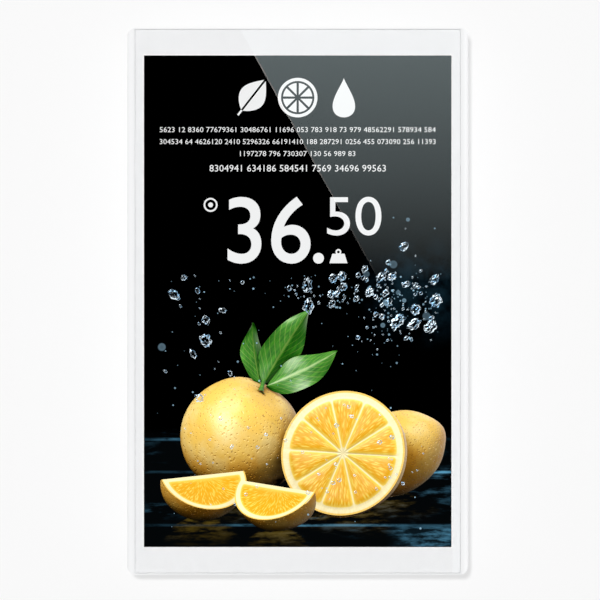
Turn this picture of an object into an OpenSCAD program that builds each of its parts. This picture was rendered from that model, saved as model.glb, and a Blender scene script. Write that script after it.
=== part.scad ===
// Wall display with a 16:10 panel in portrait, glass front and rear electronics bay.
// Origin: centre of the four rear inserts, on the rear face. +Z is up, the glass faces -Y.

/* [Picture and borders] */
// Width of the lit picture
picture_w = 135.6; // [128:0.1:170]
// Height of the lit picture
picture_h = 216.96; // [190:0.01:270]
// Border of the panel beside the picture
panel_side = 2; // [1.6:0.1:2.4]
// Border of the panel above and below the picture
panel_end = 4.8; // [4.6:0.1:6]
// Clearance round the panel in the frame
panel_fit = 0.2; // [0.1:0.05:0.3]
// Width of the glass's seat on the frame beside the panel
glass_seat = 1.8; // [1:0.1:4]
// Width of the rolled rail beside the glass
rail_w = 3.65; // [3:0.05:6]
// Width of the ledge above and below the panel that carries the screw bosses
end_ledge = 5.32; // [4.6:0.02:12]

/* [Body] */
// Height of the rear cover's side wall, from the parting line to the flange
cover_side_h = 4; // [3.4:0.1:4.6]
// Radius of the four outer corners, seen from the front
corner_r = 4; // [2.5:0.1:7]
// Radius of the rolled side rails at the front
rail_r = 3.5; // [2:0.1:6]
// Radius of the long edges of the rear cover
rear_side_r = 3; // [1:0.1:4]
// Radius of the short edges of the rear cover
rear_end_r = 1.2; // [0.5:0.1:3]
// Wall of the front frame
frame_wall = 2; // [1.6:0.1:2.2]
// Wall of the rear cover
cover_wall = 2; // [1.5:0.1:2.2]

/* [Cover glass] */
// Thin lip of the frame above and below the glass
lip_t = 0.65; // [0.4:0.05:1.5]
// Thickness of the cover glass
glass_t = 1.1; // [0.7:0.1:2]
// Thickness of the printed white border behind the glass
print_t = 0.1; // [0.05:0.01:0.2]
// Clear margin between the picture and the printed border
print_margin = 0.15; // [0.1:0.05:1]
// Thickness of the tape that holds the glass in the frame
tape_t = 0.4; // [0.2:0.05:0.8]
// Clearance round the glass in its pocket
glass_fit = 0.1; // [0.05:0.01:0.3]
// Corner radius of the cover glass
glass_corner_r = 0.8; // [0.3:0.1:2]
// Thickness of the frame's shelf behind the glass
shelf_t = 1.2; // [0.8:0.1:1.6]

/* [Panel] */
// Thickness of each glass of the liquid crystal cell
cell_glass_t = 0.4; // [0.2:0.05:0.6]
// Thickness of each polarizer
polarizer_t = 0.15; // [0.1:0.01:0.2]
// Thickness of each optical film
film_t = 0.12; // [0.08:0.01:0.16]
// Thickness of the light guide
guide_t = 0.5; // [0.4:0.05:0.7]
// Sheet thickness of the panel tray
tray_t = 0.25; // [0.15:0.05:0.3]
// Ledge of the rear glass that carries the driver chips
ledge_h = 3.4; // [2.8:0.1:4]
// Number of driver chips on the ledge
driver_count = 3; // [1:1:4]
// Number of light emitting diodes along the light guide
led_count = 24; // [8:1:30]

/* [Chassis and bay] */
// Thickness of the steel chassis plate
chassis_t = 1; // [0.8:0.1:1.2]
// Thickness of the foam pads between panel and chassis
pad_t = 0.9; // [0.6:0.1:1]
// Room between the sockets and the bay's rear wall
socket_room = 1.79; // [1:0.01:6]
// Room beside the main board at the foot of the bay
board_side_room = 6; // [5:0.5:10]
// Room between the upper inserts and the loudspeakers
speaker_room = 8.5; // [4:0.5:20]
// Room between the loudspeakers and the top of the bay
bay_end_room = 7; // [6:0.5:12]
// Corner radius of the bay, at its foot
bay_r = 10; // [7:0.5:16]
// Draft of the bay's walls over their height
bay_draft = 2.4; // [1:0.1:3]
// Bevel round the bay's rear face
bay_bevel = 1.4; // [0.6:0.1:1.8]

/* [Wall mount] */
// Spacing of the four rear inserts, both ways
mount_pitch = 75; // [70:1:80]
// Bore radius of an insert
insert_bore_r = 1.65; // [1.2:0.05:2]
// Outer radius of an insert
insert_r = 3; // [2.6:0.1:3.6]
// Length of an insert
insert_l = 8; // [5:0.5:8.5]
// Radius of the moulded boss round an insert
insert_boss_r = 5; // [4.4:0.1:6]

/* [Boards and sockets] */
// Margin of the main board beside the row of sockets
board_margin = 6.28; // [5.8:0.02:8]
// Margin of the main board above the coin cell
board_end_room = 4.45; // [3:0.05:12]
// Thickness of the main board
board_t = 1.6; // [1:0.1:2]
// Height of the standoffs under the main board
standoff_h = 5; // [4.4:0.1:7]
// Height at which the row of sockets meets the recess, below the centre
port_drop = 70; // [62:0.5:76]
// Room beside the sockets in their recess
port_side_room = 2.28; // [1:0.02:4]
// Thickness of the recess floor
port_floor_t = 1.6; // [1.2:0.1:2.4]

/* [Keys] */
// Travel of a key
key_travel = 0.5; // [0.2:0.05:0.6]
// Length of a key cap
key_l = 9; // [7:0.5:11]
// Width of a key cap
key_w = 4.6; // [3.6:0.1:5.4]
// Distance between key centres
key_pitch = 15; // [13:0.5:20]
// Height of a key cap above the cover
key_proud = 0.9; // [0.7:0.1:1.4]
// Clearance round a key cap in its hole
key_fit = 0.2; // [0.1:0.05:0.3]

/* [Vents and grilles] */
// Width of a vent slot
vent_w = 2; // [1:0.1:2.4]
// Length of a vent slot
vent_l = 12; // [8:0.5:13]
// Distance between vent slots
vent_pitch = 4.5; // [4:0.1:5]
// Number of vent slots in a row
vent_count = 7; // [3:1:7]
// Radius of a hole in the loudspeaker grilles
grille_hole_r = 0.8; // [0.5:0.05:1]
// Distance between holes in the loudspeaker grilles
grille_pitch = 2.6; // [2.4:0.1:2.8]

/* [Hidden] */

$fn = 48;
// Overrun of cuts past a face
over = 1;

// Whole body
side_border = panel_side + panel_fit + glass_seat + rail_w;
end_border = panel_end + panel_fit + end_ledge + frame_wall;
body_w = picture_w + 2 * side_border;
body_h = picture_h + 2 * end_border;
inner_w = body_w - 2 * frame_wall;
inner_h = body_h - 2 * frame_wall;

// Cover glass and its pocket
glass_w = body_w - 2 * rail_w;
glass_h = body_h - 2 * (lip_t + glass_fit);
print_f = glass_t;
tape_f = print_f + print_t;
shelf_f = tape_f + tape_t;
shelf_end = shelf_f + shelf_t;
window_w = picture_w + 2 * print_margin;
window_h = picture_h + 2 * print_margin;
print_inset = 0.05;

// Panel outline and the opening in the shelf
panel_w = picture_w + 2 * panel_side;
panel_h = picture_h + 2 * panel_end;
opening_w = panel_w + 2 * panel_fit;
opening_h = panel_h + 2 * panel_fit;

// Layers of the panel, from the front
stack_gap = 0.03;
polarizer_margin = 0.3;
polarizer_w = picture_w + 2 * polarizer_margin;
polarizer_h = picture_h + 2 * polarizer_margin;
gasket_margin = 0.2;
cell_f = shelf_f + polarizer_t;
cell_inset = 0.45;
cell_w = panel_w - 2 * cell_inset;
cell_h = panel_h - 2 * cell_inset;
transistor_f = cell_f + cell_glass_t;
rear_polarizer_f = transistor_f + cell_glass_t;
film_margin = 0.6;
film_w = picture_w + 2 * film_margin;
film_h = picture_h + 2 * film_margin;
prism_f = rear_polarizer_f + polarizer_t + stack_gap;
diffuser_f = prism_f + 2 * (film_t + stack_gap);
guide_f = diffuser_f + film_t + stack_gap;
reflector_f = guide_f + guide_t + stack_gap;
tray_f = reflector_f + film_t + stack_gap;
tray_end = tray_f + tray_t;
frame_margin = 0.2;
led_room = 1.9;
led_l = 3;
led_d = 0.9;
led_gap = 0.05;
led_row_w = picture_w - 2 * led_l;

// Driver chips and the ribbon to the main board
chip_l = 22;
chip_w = 1.2;
chip_t = 0.2;
chip_rise = 2.2;
flex_t = 0.1;
flex_w = 32;
flex_grip = 1;
flex_out = 0.25;
flex_room = 1;

// Chassis, its bosses and screws
chassis_f = tray_end + pad_t;
chassis_rear = chassis_f + chassis_t;
chassis_w = panel_w - panel_side;
pad_w = 6;
pad_l = 120;
pad_pitch = 28;
pad_xs = [-2 * pad_pitch, -pad_pitch, pad_pitch, 2 * pad_pitch];
boss_gap = 0.15;
boss_z = (opening_h + end_ledge) / 2;
boss_r = end_ledge / 2 - boss_gap;
chassis_boss_x = 40;
ear_plate_w = 9;
ear_plate_end = boss_z + boss_r - boss_gap;
cover_boss_inset = 11.5;
cover_boss_x = body_w / 2 - cover_boss_inset;
screw_r = 1;
screw_fit = 0.15;
screw_bite = 3;
chassis_head_r = 1.9;
chassis_head_h = 1.2;
cover_head_r = 2;
cover_head_h = 1.3;
cover_head_depth = 1.8;
cross_w = 0.5;
cross_l = 2.2;
cross_depth = 0.6;

// Row of sockets: width, length along Z and height above the board
socket_fit = 0.25;
socket_recess = 0.3;
socket_face_z = -port_drop + socket_recess;
socket_gap = 2.68;
jack_w = 9;
jack_l = 14.4;
jack_h = 11;
jack_bore_r = 3.1;
jack_pin_r = 1;
jack_bore_l = 9.6;
hdmi_w = 15;
hdmi_l = 11.6;
hdmi_h = 5.9;
hdmi_slope = 1.4;
usb_a_w = 13.2;
usb_a_l = 14;
usb_a_h = 6.6;
usb_c_w = 8.94;
usb_c_l = 7.4;
usb_c_h = 3.26;
card_w = 12;
card_l = 13;
card_h = 1.6;
lan_w = 15.9;
lan_l = 20;
lan_h = 11.6;
lan_side_t = 2;
lan_floor_t = 2.3;
lan_mouth_w = lan_w - 2 * lan_side_t;
lan_mouth_h = lan_h - 2 * lan_floor_t;
lan_latch_w = 6;
lan_latch_h = 1.6;
lan_mouth_l = 14;
shell_t = 0.4;
thin_shell_t = 0.3;
tongue_t = 1.6;
thin_tongue_t = 0.7;
tongue_side = 1.2;
tongue_set = 0.8;
row_w = jack_w + hdmi_w + usb_a_w + usb_c_w + card_w + lan_w + 5 * socket_gap;
jack_x = -row_w / 2 + jack_w / 2;
hdmi_x = jack_x + jack_w / 2 + socket_gap + hdmi_w / 2;
usb_a_x = hdmi_x + hdmi_w / 2 + socket_gap + usb_a_w / 2;
usb_c_x = usb_a_x + usb_a_w / 2 + socket_gap + usb_c_w / 2;
card_x = usb_c_x + usb_c_w / 2 + socket_gap + card_w / 2;
lan_x = card_x + card_w / 2 + socket_gap + lan_w / 2;
sockets = [
  [jack_x, jack_w, jack_h], [hdmi_x, hdmi_w, hdmi_h], [usb_a_x, usb_a_w, usb_a_h],
  [usb_c_x, usb_c_w, usb_c_h], [card_x, card_w, card_h], [lan_x, lan_w, lan_h]
];

// Main board and its standoffs
board_f = chassis_rear + standoff_h;
board_rear = board_f + board_t;
board_fit = 2;
board_low = -port_drop + cover_wall + board_fit;
board_w = row_w + 2 * board_margin;
standoff_r = 2.4;
standoff_inset = 3.5;
standoff_low = 8;
standoff_x = board_w / 2 - standoff_inset;
board_head_r = 2.1;
board_head_h = 1.5;
connector_end = 2;
connector_w = flex_w + 2 * connector_end;
connector_d = 4;
connector_h = 2;
connector_z = board_low + 2 * connector_d;
flex_up_z = board_low + connector_d / 2;
flex_slot_h = 4;

// Parts on the main board
chip_side = 15;
processor_h = 1.2;
thermal_t = 0.5;
sink_side = 38;
sink_base_t = 2;
sink_h = 8;
fin_t = 1;
fin_count = 8;
memory_w = 9;
memory_h = 12;
memory_t = 1.1;
memory_x = 28;
side_part_x = 34;
can_w = 17;
can_h = 14;
can_t = 2.4;
can_wall = 0.3;
coin_r = 6.25;
coin_t = 2;
holder_wall = 1.1;
holder_base = 0.6;
holder_fit = 0.2;
cap_r = 2.5;
cap_h = 5;
cap_x = -30;
cap_pitch = 7.5;
cap_xs = [cap_x, cap_x + cap_pitch];
coil_side = 6;
coil_h = 3;
coil_x = -13;
coil_pitch = 9;
coil_xs = [coil_x, coil_x + coil_pitch];
crystal_w = 5;
crystal_h = 3.2;
crystal_t = 1.2;
crystal_x = 6;
row_gap = 3.8;
row_z = socket_face_z + jack_l + row_gap + cap_r;
sink_gap = 2.5;
processor_z = row_z + coil_side / 2 + sink_gap + sink_side / 2;
part_gap = 9.5;
side_part_z = processor_z + memory_h / 2 + part_gap + can_h / 2;
holder_r = coin_r + holder_fit + holder_wall;
board_h = side_part_z + holder_r + board_end_room - board_low;
standoff_zs = [board_low + standoff_low, board_low + board_h - standoff_inset];

// Depth of the bay and of the recess
body_d = board_rear + lan_h + socket_room + cover_wall;
bay_w = board_w + 2 * board_side_room;
port_w = row_w + 2 * port_side_room;

// Loudspeakers behind the rear face
speaker_w = 26;
speaker_h = 20;
speaker_t = 5.4;
speaker_side_room = 4.6;
speaker_gap = 0.2;
speaker_end = body_d - cover_wall - speaker_gap;
cone_r = 8;
cone_depth = 1.6;
dome_r = 3;
ear_w = 6;
ear_h = 5;
speaker_x = bay_w / 2 - cover_wall - bay_draft - speaker_side_room - speaker_w / 2;
speaker_z = mount_pitch / 2 + insert_boss_r + speaker_room + speaker_h / 2 + ear_h;
bay_h = 2 * (speaker_z + speaker_h / 2 + ear_h + bay_end_room);
ear_t = 1.4;
ear_f = speaker_end - speaker_t / 2;
ear_boss_r = 2;
ear_screw_r = 0.8;
ear_head_r = 1.6;
ear_head_h = 1;
grille_rings = 3;

// Keys: board, switches, plungers and caps
key_inset = 10.5;
key_x = body_w / 2 - key_inset;
key_z = -10;
key_tape_t = 0.1;
key_board_w = 7.6;
key_board_t = 0.8;
key_board_l = 2 * key_pitch + key_l + 2 * key_fit;
key_board_f = chassis_rear + key_tape_t;
switch_side = 5;
switch_f = key_board_f + key_board_t;
plunger_r = 1.5;
plunger_fit = 0.1;
plunger_reach = 0.55;
flange_lip = 0.9;
flange_t = 0.75;
flange_gap = 0.2;
switch_clear = 0.3;
switch_h = 1.34;
switch_top = switch_f + switch_h;
flange_f = switch_top + switch_clear + key_travel;
slab_d = flange_f + flange_t + flange_gap + cover_wall;
frame_d = slab_d - cover_side_h;
port_floor = frame_d + port_floor_t;
plunger_f = switch_top - plunger_reach;
cap_bevel = 0.35;
key_flex_w = 6;
key_flex_inset = 2;

// Details of the rear cover
rim_t = 0.8;
rim_h = 1.2;
rim_fit = 0.15;
rail_round = min(rail_r, rail_w - glass_fit);
rear_side_round = min(rear_side_r, cover_side_h - rim_t);
rear_end_round = min(rear_end_r, cover_side_h - rim_t);
cover_boss_r = 3;
pocket_fit = 0.05;
pocket_floor = 1.2;
vent_row_gap = 3;
low_vent_rise = 18;
low_vent_z = -port_drop + low_vent_rise;
rib_t = 1.2;
rib_h = 1.8;

function fy(f) = f - body_d;
function key_at(i) = key_z + (1 - i) * key_pitch;

// Shapes that the sub-parts share

// Rectangle with round corners, centred
module round_rect(w, h, r) {
  square([w - 2 * r, h], center = true);
  square([w, h - 2 * r], center = true);
  for (x = [-1, 1], z = [-1, 1])
    translate([x * (w / 2 - r), z * (h / 2 - r)]) circle(r);
}

// Slot with round ends, centred, long side along the second axis
module slot_2d(w, l) {
  square([w, l - w], center = true);
  for (s = [-1, 1]) translate([0, s * (l - w) / 2]) circle(w / 2);
}

// Extrusion of an outline in X and Z between two depths behind the glass
module between(f0, f1) {
  translate([0, fy(f1), 0]) rotate([90, 0, 0]) linear_extrude(f1 - f0) children();
}

// Flat sheet with square corners, centred on X and Z
module sheet(w, h, f0, f1) {
  between(f0, f1) square([w, h], center = true);
}

// Flat ring with square corners
module ring(w, h, w_in, h_in, f0, f1) {
  between(f0, f1) difference() {
    square([w, h], center = true);
    square([w_in, h_in], center = true);
  }
}

// Cylinder along Y between two depths
module rod(r, f0, f1) {
  translate([0, fy(f1), 0]) rotate([90, 0, 0]) cylinder(r = r, h = f1 - f0);
}

// Block given by its centre in X and Z, its size and its depths
module block(x, z, w, h, f0, f1) {
  translate([x - w / 2, fy(f0), z - h / 2]) cube([w, f1 - f0, h]);
}

// Section with one pair of round edges, at the front or at the rear
module edge_section(w, f0, f1, r, at_front) {
  round_f = at_front ? f0 + r : f1 - r;
  low_f = at_front ? round_f : f0;
  high_f = at_front ? f1 : round_f;
  translate([-w / 2, fy(low_f)]) square([w, high_f - low_f]);
  translate([-w / 2 + r, fy(f0)]) square([w - 2 * r, f1 - f0]);
  for (s = [-1, 1]) translate([s * (w / 2 - r), fy(round_f)]) circle(r);
}

// Extrusion of a section in X and Y along the whole height
module along_height() {
  translate([0, 0, -body_h / 2 - over]) linear_extrude(body_h + 2 * over) children();
}

// Extrusion of a section in Z and Y along the whole width
module along_width() {
  translate([body_w / 2 + over, 0, 0]) rotate([0, -90, 0])
    linear_extrude(body_w + 2 * over) children();
}

// Block whose sides lean in towards the rear, with cones at its corners
module drafted(w, h, r, lean, f0, f1) {
  rise = f1 - f0;
  translate([0, fy(f0), -h / 2 + r]) linear_extrude(h - 2 * r)
    polygon([[-w / 2, 0], [w / 2, 0], [w / 2 - lean, rise], [-w / 2 + lean, rise]]);
  translate([-w / 2 + r, fy(f0), 0]) rotate([90, 0, 90]) linear_extrude(w - 2 * r)
    polygon([[0, -h / 2], [0, h / 2], [rise, h / 2 - lean], [rise, -h / 2 + lean]]);
  for (x = [-1, 1], z = [-1, 1])
    translate([x * (w / 2 - r), fy(f0), z * (h / 2 - r)]) rotate([-90, 0, 0])
      cylinder(r1 = r, r2 = r - lean, h = rise);
}

// Pan head screw along Y with a cross recess, head towards the rear
module screw(head_r, head_h, seat_f, tip_f, r) {
  difference() {
    rod(head_r, seat_f, seat_f + head_h);
    for (turn = [0, 90]) rotate([0, turn, 0])
      block(0, 0, cross_l, cross_w, seat_f + head_h - cross_depth, seat_f + head_h + over);
  }
  rod(r, tip_f, seat_f);
}

// Places of the screws that hold the cover
module at_cover_screws() {
  for (x = [-1, 1], z = [-1, 1]) translate([x * cover_boss_x, 0, z * boss_z]) children();
  translate([0, 0, boss_z]) children();
}

// Places of the screws that hold the chassis
module at_chassis_screws() {
  for (x = [-1, 1], z = [-1, 1]) translate([x * chassis_boss_x, 0, z * boss_z]) children();
}

// Places of the four rear inserts
module at_inserts() {
  for (x = [-1, 1], z = [-1, 1])
    translate([x * mount_pitch / 2, 0, z * mount_pitch / 2]) children();
}

// Places of the main board's screws
module at_standoffs() {
  for (x = [-1, 1], z = standoff_zs) translate([x * standoff_x, 0, z]) children();
}

// Cover glass and what holds it

module cover_glass() {
  color("aliceblue") between(0, glass_t) round_rect(glass_w, glass_h, glass_corner_r);
}

module border_print() {
  color("white") between(print_f, tape_f) difference() {
    round_rect(glass_w - 2 * print_inset, glass_h - 2 * print_inset, glass_corner_r);
    square([window_w, window_h], center = true);
  }
}

module bonding_tape() {
  color("gray") ring(glass_w - 2 * print_inset, glass_h - 2 * print_inset,
    opening_w, opening_h, tape_f, shelf_f);
}

// Screw boss standing on the shelf of the front frame
module frame_boss(top) {
  difference() {
    rod(boss_r, shelf_f + shelf_t / 2, top);
    rod(screw_r + screw_fit, shelf_end, top + over);
  }
}

module front_frame() {
  color("white") {
    difference() {
      intersection() {
        between(0, frame_d) round_rect(body_w, body_h, corner_r);
        along_height() edge_section(body_w, 0, frame_d, rail_round, true);
      }
      sheet(glass_w + 2 * glass_fit, glass_h + 2 * glass_fit, -over, shelf_f);
      sheet(opening_w, opening_h, 0, frame_d);
      between(shelf_end, frame_d + over)
        round_rect(inner_w, inner_h, corner_r - frame_wall);
      block(0, -opening_h / 2, flex_w + 2 * flex_room, 2 * flex_room, shelf_f - over, frame_d);
    }
    at_chassis_screws() frame_boss(chassis_f);
    at_cover_screws() frame_boss(frame_d);
  }
}

// Panel, from the front to the back

module panel_gasket() {
  color("dimgray") ring(cell_w, cell_h, polarizer_w + 2 * gasket_margin,
    polarizer_h + 2 * gasket_margin, tape_f, cell_f);
}

module polarizer_front() {
  color("black") sheet(polarizer_w, polarizer_h, shelf_f, cell_f);
}

module colour_filter_glass() {
  color("midnightblue") translate([0, 0, ledge_h / 2])
    sheet(cell_w, cell_h - ledge_h, cell_f, transistor_f);
}

module transistor_glass() {
  color("darkslategray") sheet(cell_w, cell_h, transistor_f, rear_polarizer_f);
}

module driver_chips() {
  pitch = cell_w / driver_count;
  color("black") for (i = [0 : driver_count - 1])
    block((i - (driver_count - 1) / 2) * pitch, -cell_h / 2 + chip_rise,
      chip_l, chip_w, transistor_f - chip_t, transistor_f);
}

module polarizer_rear() {
  color("slategray")
    sheet(polarizer_w, polarizer_h, rear_polarizer_f, rear_polarizer_f + polarizer_t);
}

module prism_films() {
  color("lightgray") for (i = [0, 1]) {
    f = prism_f + i * (film_t + stack_gap);
    sheet(film_w, film_h, f, f + film_t);
  }
}

module diffuser_film() {
  color("whitesmoke") sheet(film_w, film_h, diffuser_f, diffuser_f + film_t);
}

module light_guide() {
  color("lightcyan") sheet(film_w, film_h, guide_f, guide_f + guide_t);
}

module reflector_sheet() {
  color("white") sheet(film_w, film_h, reflector_f, reflector_f + film_t);
}

module led_strip() {
  strip_h = led_room - led_gap;
  color("ivory") block(0, -film_h / 2 - led_gap - strip_h / 2,
    film_w, strip_h, reflector_f, reflector_f + film_t);
}

module leds() {
  pitch = led_row_w / (led_count - 1);
  color("lightyellow") for (i = [0 : led_count - 1])
    block(-led_row_w / 2 + i * pitch, -film_h / 2 - led_gap - led_d / 2,
      led_l, led_d, guide_f, reflector_f);
}

module panel_frame() {
  inner_top = film_h / 2 + frame_margin;
  inner_low = film_h / 2 + led_room + frame_margin;
  side_gap = 2 * (tray_t + stack_gap);
  color("white") between(rear_polarizer_f, tray_f - stack_gap) difference() {
    square([panel_w - side_gap, panel_h - side_gap], center = true);
    translate([-film_w / 2 - frame_margin, -inner_low])
      square([film_w + 2 * frame_margin, inner_low + inner_top]);
  }
}

module panel_tray() {
  color("silver") difference() {
    union() {
      sheet(panel_w, panel_h, tray_f, tray_end);
      ring(panel_w, panel_h, panel_w - 2 * tray_t, panel_h - 2 * tray_t, cell_f, tray_f);
    }
    block(0, -panel_h / 2, flex_w + flex_room, flex_room, cell_f - over, rear_polarizer_f);
  }
}

module panel_flex() {
  out_z = -panel_h / 2 - flex_out - flex_t;
  front_f = transistor_f - flex_t;
  rear_f = tray_end + flex_t;
  up_f = board_f - connector_h / 2;
  color("darkorange") {
    block(0, (out_z - cell_h / 2 + flex_grip) / 2, flex_w,
      flex_grip - cell_h / 2 - out_z, front_f, transistor_f);
    block(0, out_z + flex_t / 2, flex_w, flex_t, front_f, rear_f + flex_t);
    block(0, (out_z + flex_up_z) / 2, flex_w, flex_up_z - out_z, rear_f, rear_f + flex_t);
    block(0, flex_up_z - flex_t / 2, flex_w, flex_t, rear_f, up_f + flex_t);
    block(0, (flex_up_z - flex_t + connector_z - connector_d / 2) / 2, flex_w,
      connector_z - connector_d / 2 - flex_up_z + flex_t, up_f, up_f + flex_t);
  }
}

// Chassis and boards

module foam_pads() {
  color("dimgray") for (x = pad_xs) block(x, 0, pad_w, pad_l, tray_end, chassis_f);
}

module chassis_plate() {
  color("lightsteelblue") difference() {
    union() {
      sheet(chassis_w, panel_h, chassis_f, chassis_rear);
      for (x = [-1, 1]) block(x * chassis_boss_x, 0, ear_plate_w, 2 * ear_plate_end,
        chassis_f, chassis_rear);
      at_standoffs() rod(standoff_r, chassis_rear, board_f);
    }
    at_standoffs() rod(screw_r + screw_fit, chassis_f - over, board_f + over);
    at_chassis_screws() rod(screw_r + screw_fit, chassis_f - over, chassis_rear + over);
    block(0, flex_up_z, flex_w + 2 * flex_room, flex_slot_h, chassis_f - over,
      chassis_rear + over);
  }
}

module chassis_screws() {
  color("silver") at_chassis_screws()
    screw(chassis_head_r, chassis_head_h, chassis_rear, shelf_end + screw_fit, screw_r);
}

module main_board() {
  color("darkgreen") difference() {
    block(0, board_low + board_h / 2, board_w, board_h, board_f, board_rear);
    at_standoffs() rod(screw_r + screw_fit, board_f - over, board_rear + over);
  }
}

module board_screws() {
  color("silver") at_standoffs()
    screw(board_head_r, board_head_h, board_rear, chassis_rear, screw_r);
}

module panel_connector() {
  color("ivory") block(0, connector_z, connector_w, connector_d,
    board_f - connector_h, board_f);
}

module processor() {
  color("black") block(0, processor_z, chip_side, chip_side,
    board_rear, board_rear + processor_h);
}

module thermal_pad() {
  f = board_rear + processor_h;
  color("lightpink") block(0, processor_z, chip_side, chip_side, f, f + thermal_t);
}

module heat_sink() {
  f = board_rear + processor_h + thermal_t;
  pitch = (sink_side - fin_t) / (fin_count - 1);
  color("silver") {
    block(0, processor_z, sink_side, sink_side, f, f + sink_base_t);
    for (i = [0 : fin_count - 1])
      block(-sink_side / 2 + fin_t / 2 + i * pitch, processor_z, fin_t, sink_side,
        f, f + sink_h);
  }
}

module memory_chips() {
  color("black") for (s = [-1, 1])
    block(s * memory_x, processor_z, memory_w, memory_h, board_rear, board_rear + memory_t);
}

module shield_can() {
  color("silver") difference() {
    block(side_part_x, side_part_z, can_w, can_h, board_rear, board_rear + can_t);
    block(side_part_x, side_part_z, can_w - 2 * can_wall, can_h - 2 * can_wall,
      board_rear - over, board_rear + can_t - can_wall);
  }
}

module board_parts() {
  color("dimgray") {
    for (x = cap_xs) translate([x, 0, row_z]) rod(cap_r, board_rear, board_rear + cap_h);
    for (x = coil_xs) block(x, row_z, coil_side, coil_side, board_rear, board_rear + coil_h);
    block(crystal_x, row_z, crystal_w, crystal_h, board_rear, board_rear + crystal_t);
  }
}

module coin_holder() {
  color("ivory") translate([-side_part_x, 0, side_part_z]) difference() {
    rod(holder_r, board_rear, board_rear + holder_base + coin_t);
    rod(coin_r + holder_fit, board_rear + holder_base, board_rear + holder_base + coin_t + over);
    block(0, holder_r, coin_r, coin_r, board_rear + holder_base,
      board_rear + holder_base + coin_t + over);
  }
}

module coin_cell() {
  f = board_rear + holder_base;
  color("silver") translate([-side_part_x, 0, side_part_z]) rod(coin_r, f, f + coin_t);
}

// Sockets, with their mouths facing down

// Block of a socket from its face up along Z, grown or cut by a wall
module socket_block(x, w, l, h, wall = 0, drop = 0) {
  translate([x - w / 2 + wall, fy(board_rear) + wall, socket_face_z - drop])
    cube([w - 2 * wall, h - 2 * wall, l + drop]);
}

module dc_jack() {
  bore_f = board_rear + jack_h / 2;
  color("black") translate([jack_x, fy(bore_f), socket_face_z]) {
    difference() {
      translate([-jack_w / 2, -jack_h / 2, 0]) cube([jack_w, jack_h, jack_l]);
      translate([0, 0, -over]) cylinder(r = jack_bore_r, h = jack_bore_l + over);
    }
    cylinder(r = jack_pin_r, h = jack_bore_l);
  }
}

module hdmi_socket() {
  mouth_l = hdmi_l - 2 * tongue_set;
  low = shell_t;
  high = hdmi_h - shell_t;
  color("silver") translate([hdmi_x, fy(board_rear), socket_face_z]) {
    difference() {
      translate([-hdmi_w / 2, 0, 0]) cube([hdmi_w, hdmi_h, hdmi_l]);
      translate([0, 0, -over]) linear_extrude(mouth_l + over) polygon([
        [-hdmi_w / 2 + shell_t + hdmi_slope, low], [hdmi_w / 2 - shell_t - hdmi_slope, low],
        [hdmi_w / 2 - shell_t, low + hdmi_slope], [hdmi_w / 2 - shell_t, high],
        [-hdmi_w / 2 + shell_t, high], [-hdmi_w / 2 + shell_t, low + hdmi_slope]
      ]);
    }
    translate([-hdmi_w / 2 + shell_t + tongue_side, hdmi_h / 2, tongue_set])
      cube([hdmi_w - 2 * (shell_t + tongue_side), thin_tongue_t, hdmi_l - tongue_set]);
  }
}

module usb_a_socket() {
  mouth_l = usb_a_l - 2 * tongue_set;
  color("silver") translate([usb_a_x, fy(board_rear), socket_face_z]) {
    difference() {
      translate([-usb_a_w / 2, 0, 0]) cube([usb_a_w, usb_a_h, usb_a_l]);
      translate([-usb_a_w / 2 + shell_t, shell_t, -over])
        cube([usb_a_w - 2 * shell_t, usb_a_h - 2 * shell_t, mouth_l + over]);
    }
    translate([-usb_a_w / 2 + shell_t + thin_shell_t, usb_a_h - shell_t - tongue_set - tongue_t,
      tongue_set])
      cube([usb_a_w - 2 * (shell_t + thin_shell_t), tongue_t, usb_a_l - tongue_set]);
  }
}

module usb_c_socket() {
  mouth_l = usb_c_l - tongue_set;
  color("silver") translate([usb_c_x, fy(board_rear) + usb_c_h / 2, socket_face_z]) {
    difference() {
      linear_extrude(usb_c_l) rotate(90) slot_2d(usb_c_h, usb_c_w);
      translate([0, 0, -over]) linear_extrude(mouth_l + over) rotate(90)
        slot_2d(usb_c_h - 2 * thin_shell_t, usb_c_w - 2 * thin_shell_t);
    }
    translate([-usb_c_w / 2 + tongue_side, -thin_tongue_t / 2, tongue_set])
      cube([usb_c_w - 2 * tongue_side, thin_tongue_t, usb_c_l - tongue_set]);
  }
}

module card_slot() {
  color("silver") difference() {
    socket_block(card_x, card_w, card_l, card_h);
    socket_block(card_x, card_w, card_l - shell_t, card_h, shell_t, over);
  }
}

module lan_socket() {
  mouth_f = board_rear + lan_h / 2;
  color("dimgray") difference() {
    socket_block(lan_x, lan_w, lan_l, lan_h);
    translate([lan_x - lan_mouth_w / 2, fy(mouth_f) - lan_mouth_h / 2, socket_face_z - over])
      cube([lan_mouth_w, lan_mouth_h, lan_mouth_l + over]);
    translate([lan_x - lan_latch_w / 2, fy(mouth_f) - lan_mouth_h / 2 - lan_latch_h,
      socket_face_z - over])
      cube([lan_latch_w, lan_latch_h + over, lan_mouth_l + over]);
  }
}

// Loudspeakers

module speaker(x) {
  translate([x, 0, speaker_z]) {
    difference() {
      union() {
        block(0, 0, speaker_w, speaker_h, speaker_end - speaker_t, speaker_end);
        block(0, 0, ear_w, speaker_h + 2 * ear_h, ear_f - ear_t, ear_f);
      }
      rod(cone_r, speaker_end - cone_depth, speaker_end + over);
      for (s = [-1, 1]) translate([0, 0, s * (speaker_h + ear_h) / 2])
        rod(ear_screw_r + screw_fit, ear_f - ear_t - over, ear_f + over);
    }
    rod(dome_r, speaker_end - cone_depth, speaker_end - cone_depth / 2);
  }
}

module speaker_left() {
  color("dimgray") speaker(-speaker_x);
}

module speaker_right() {
  color("dimgray") speaker(speaker_x);
}

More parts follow.
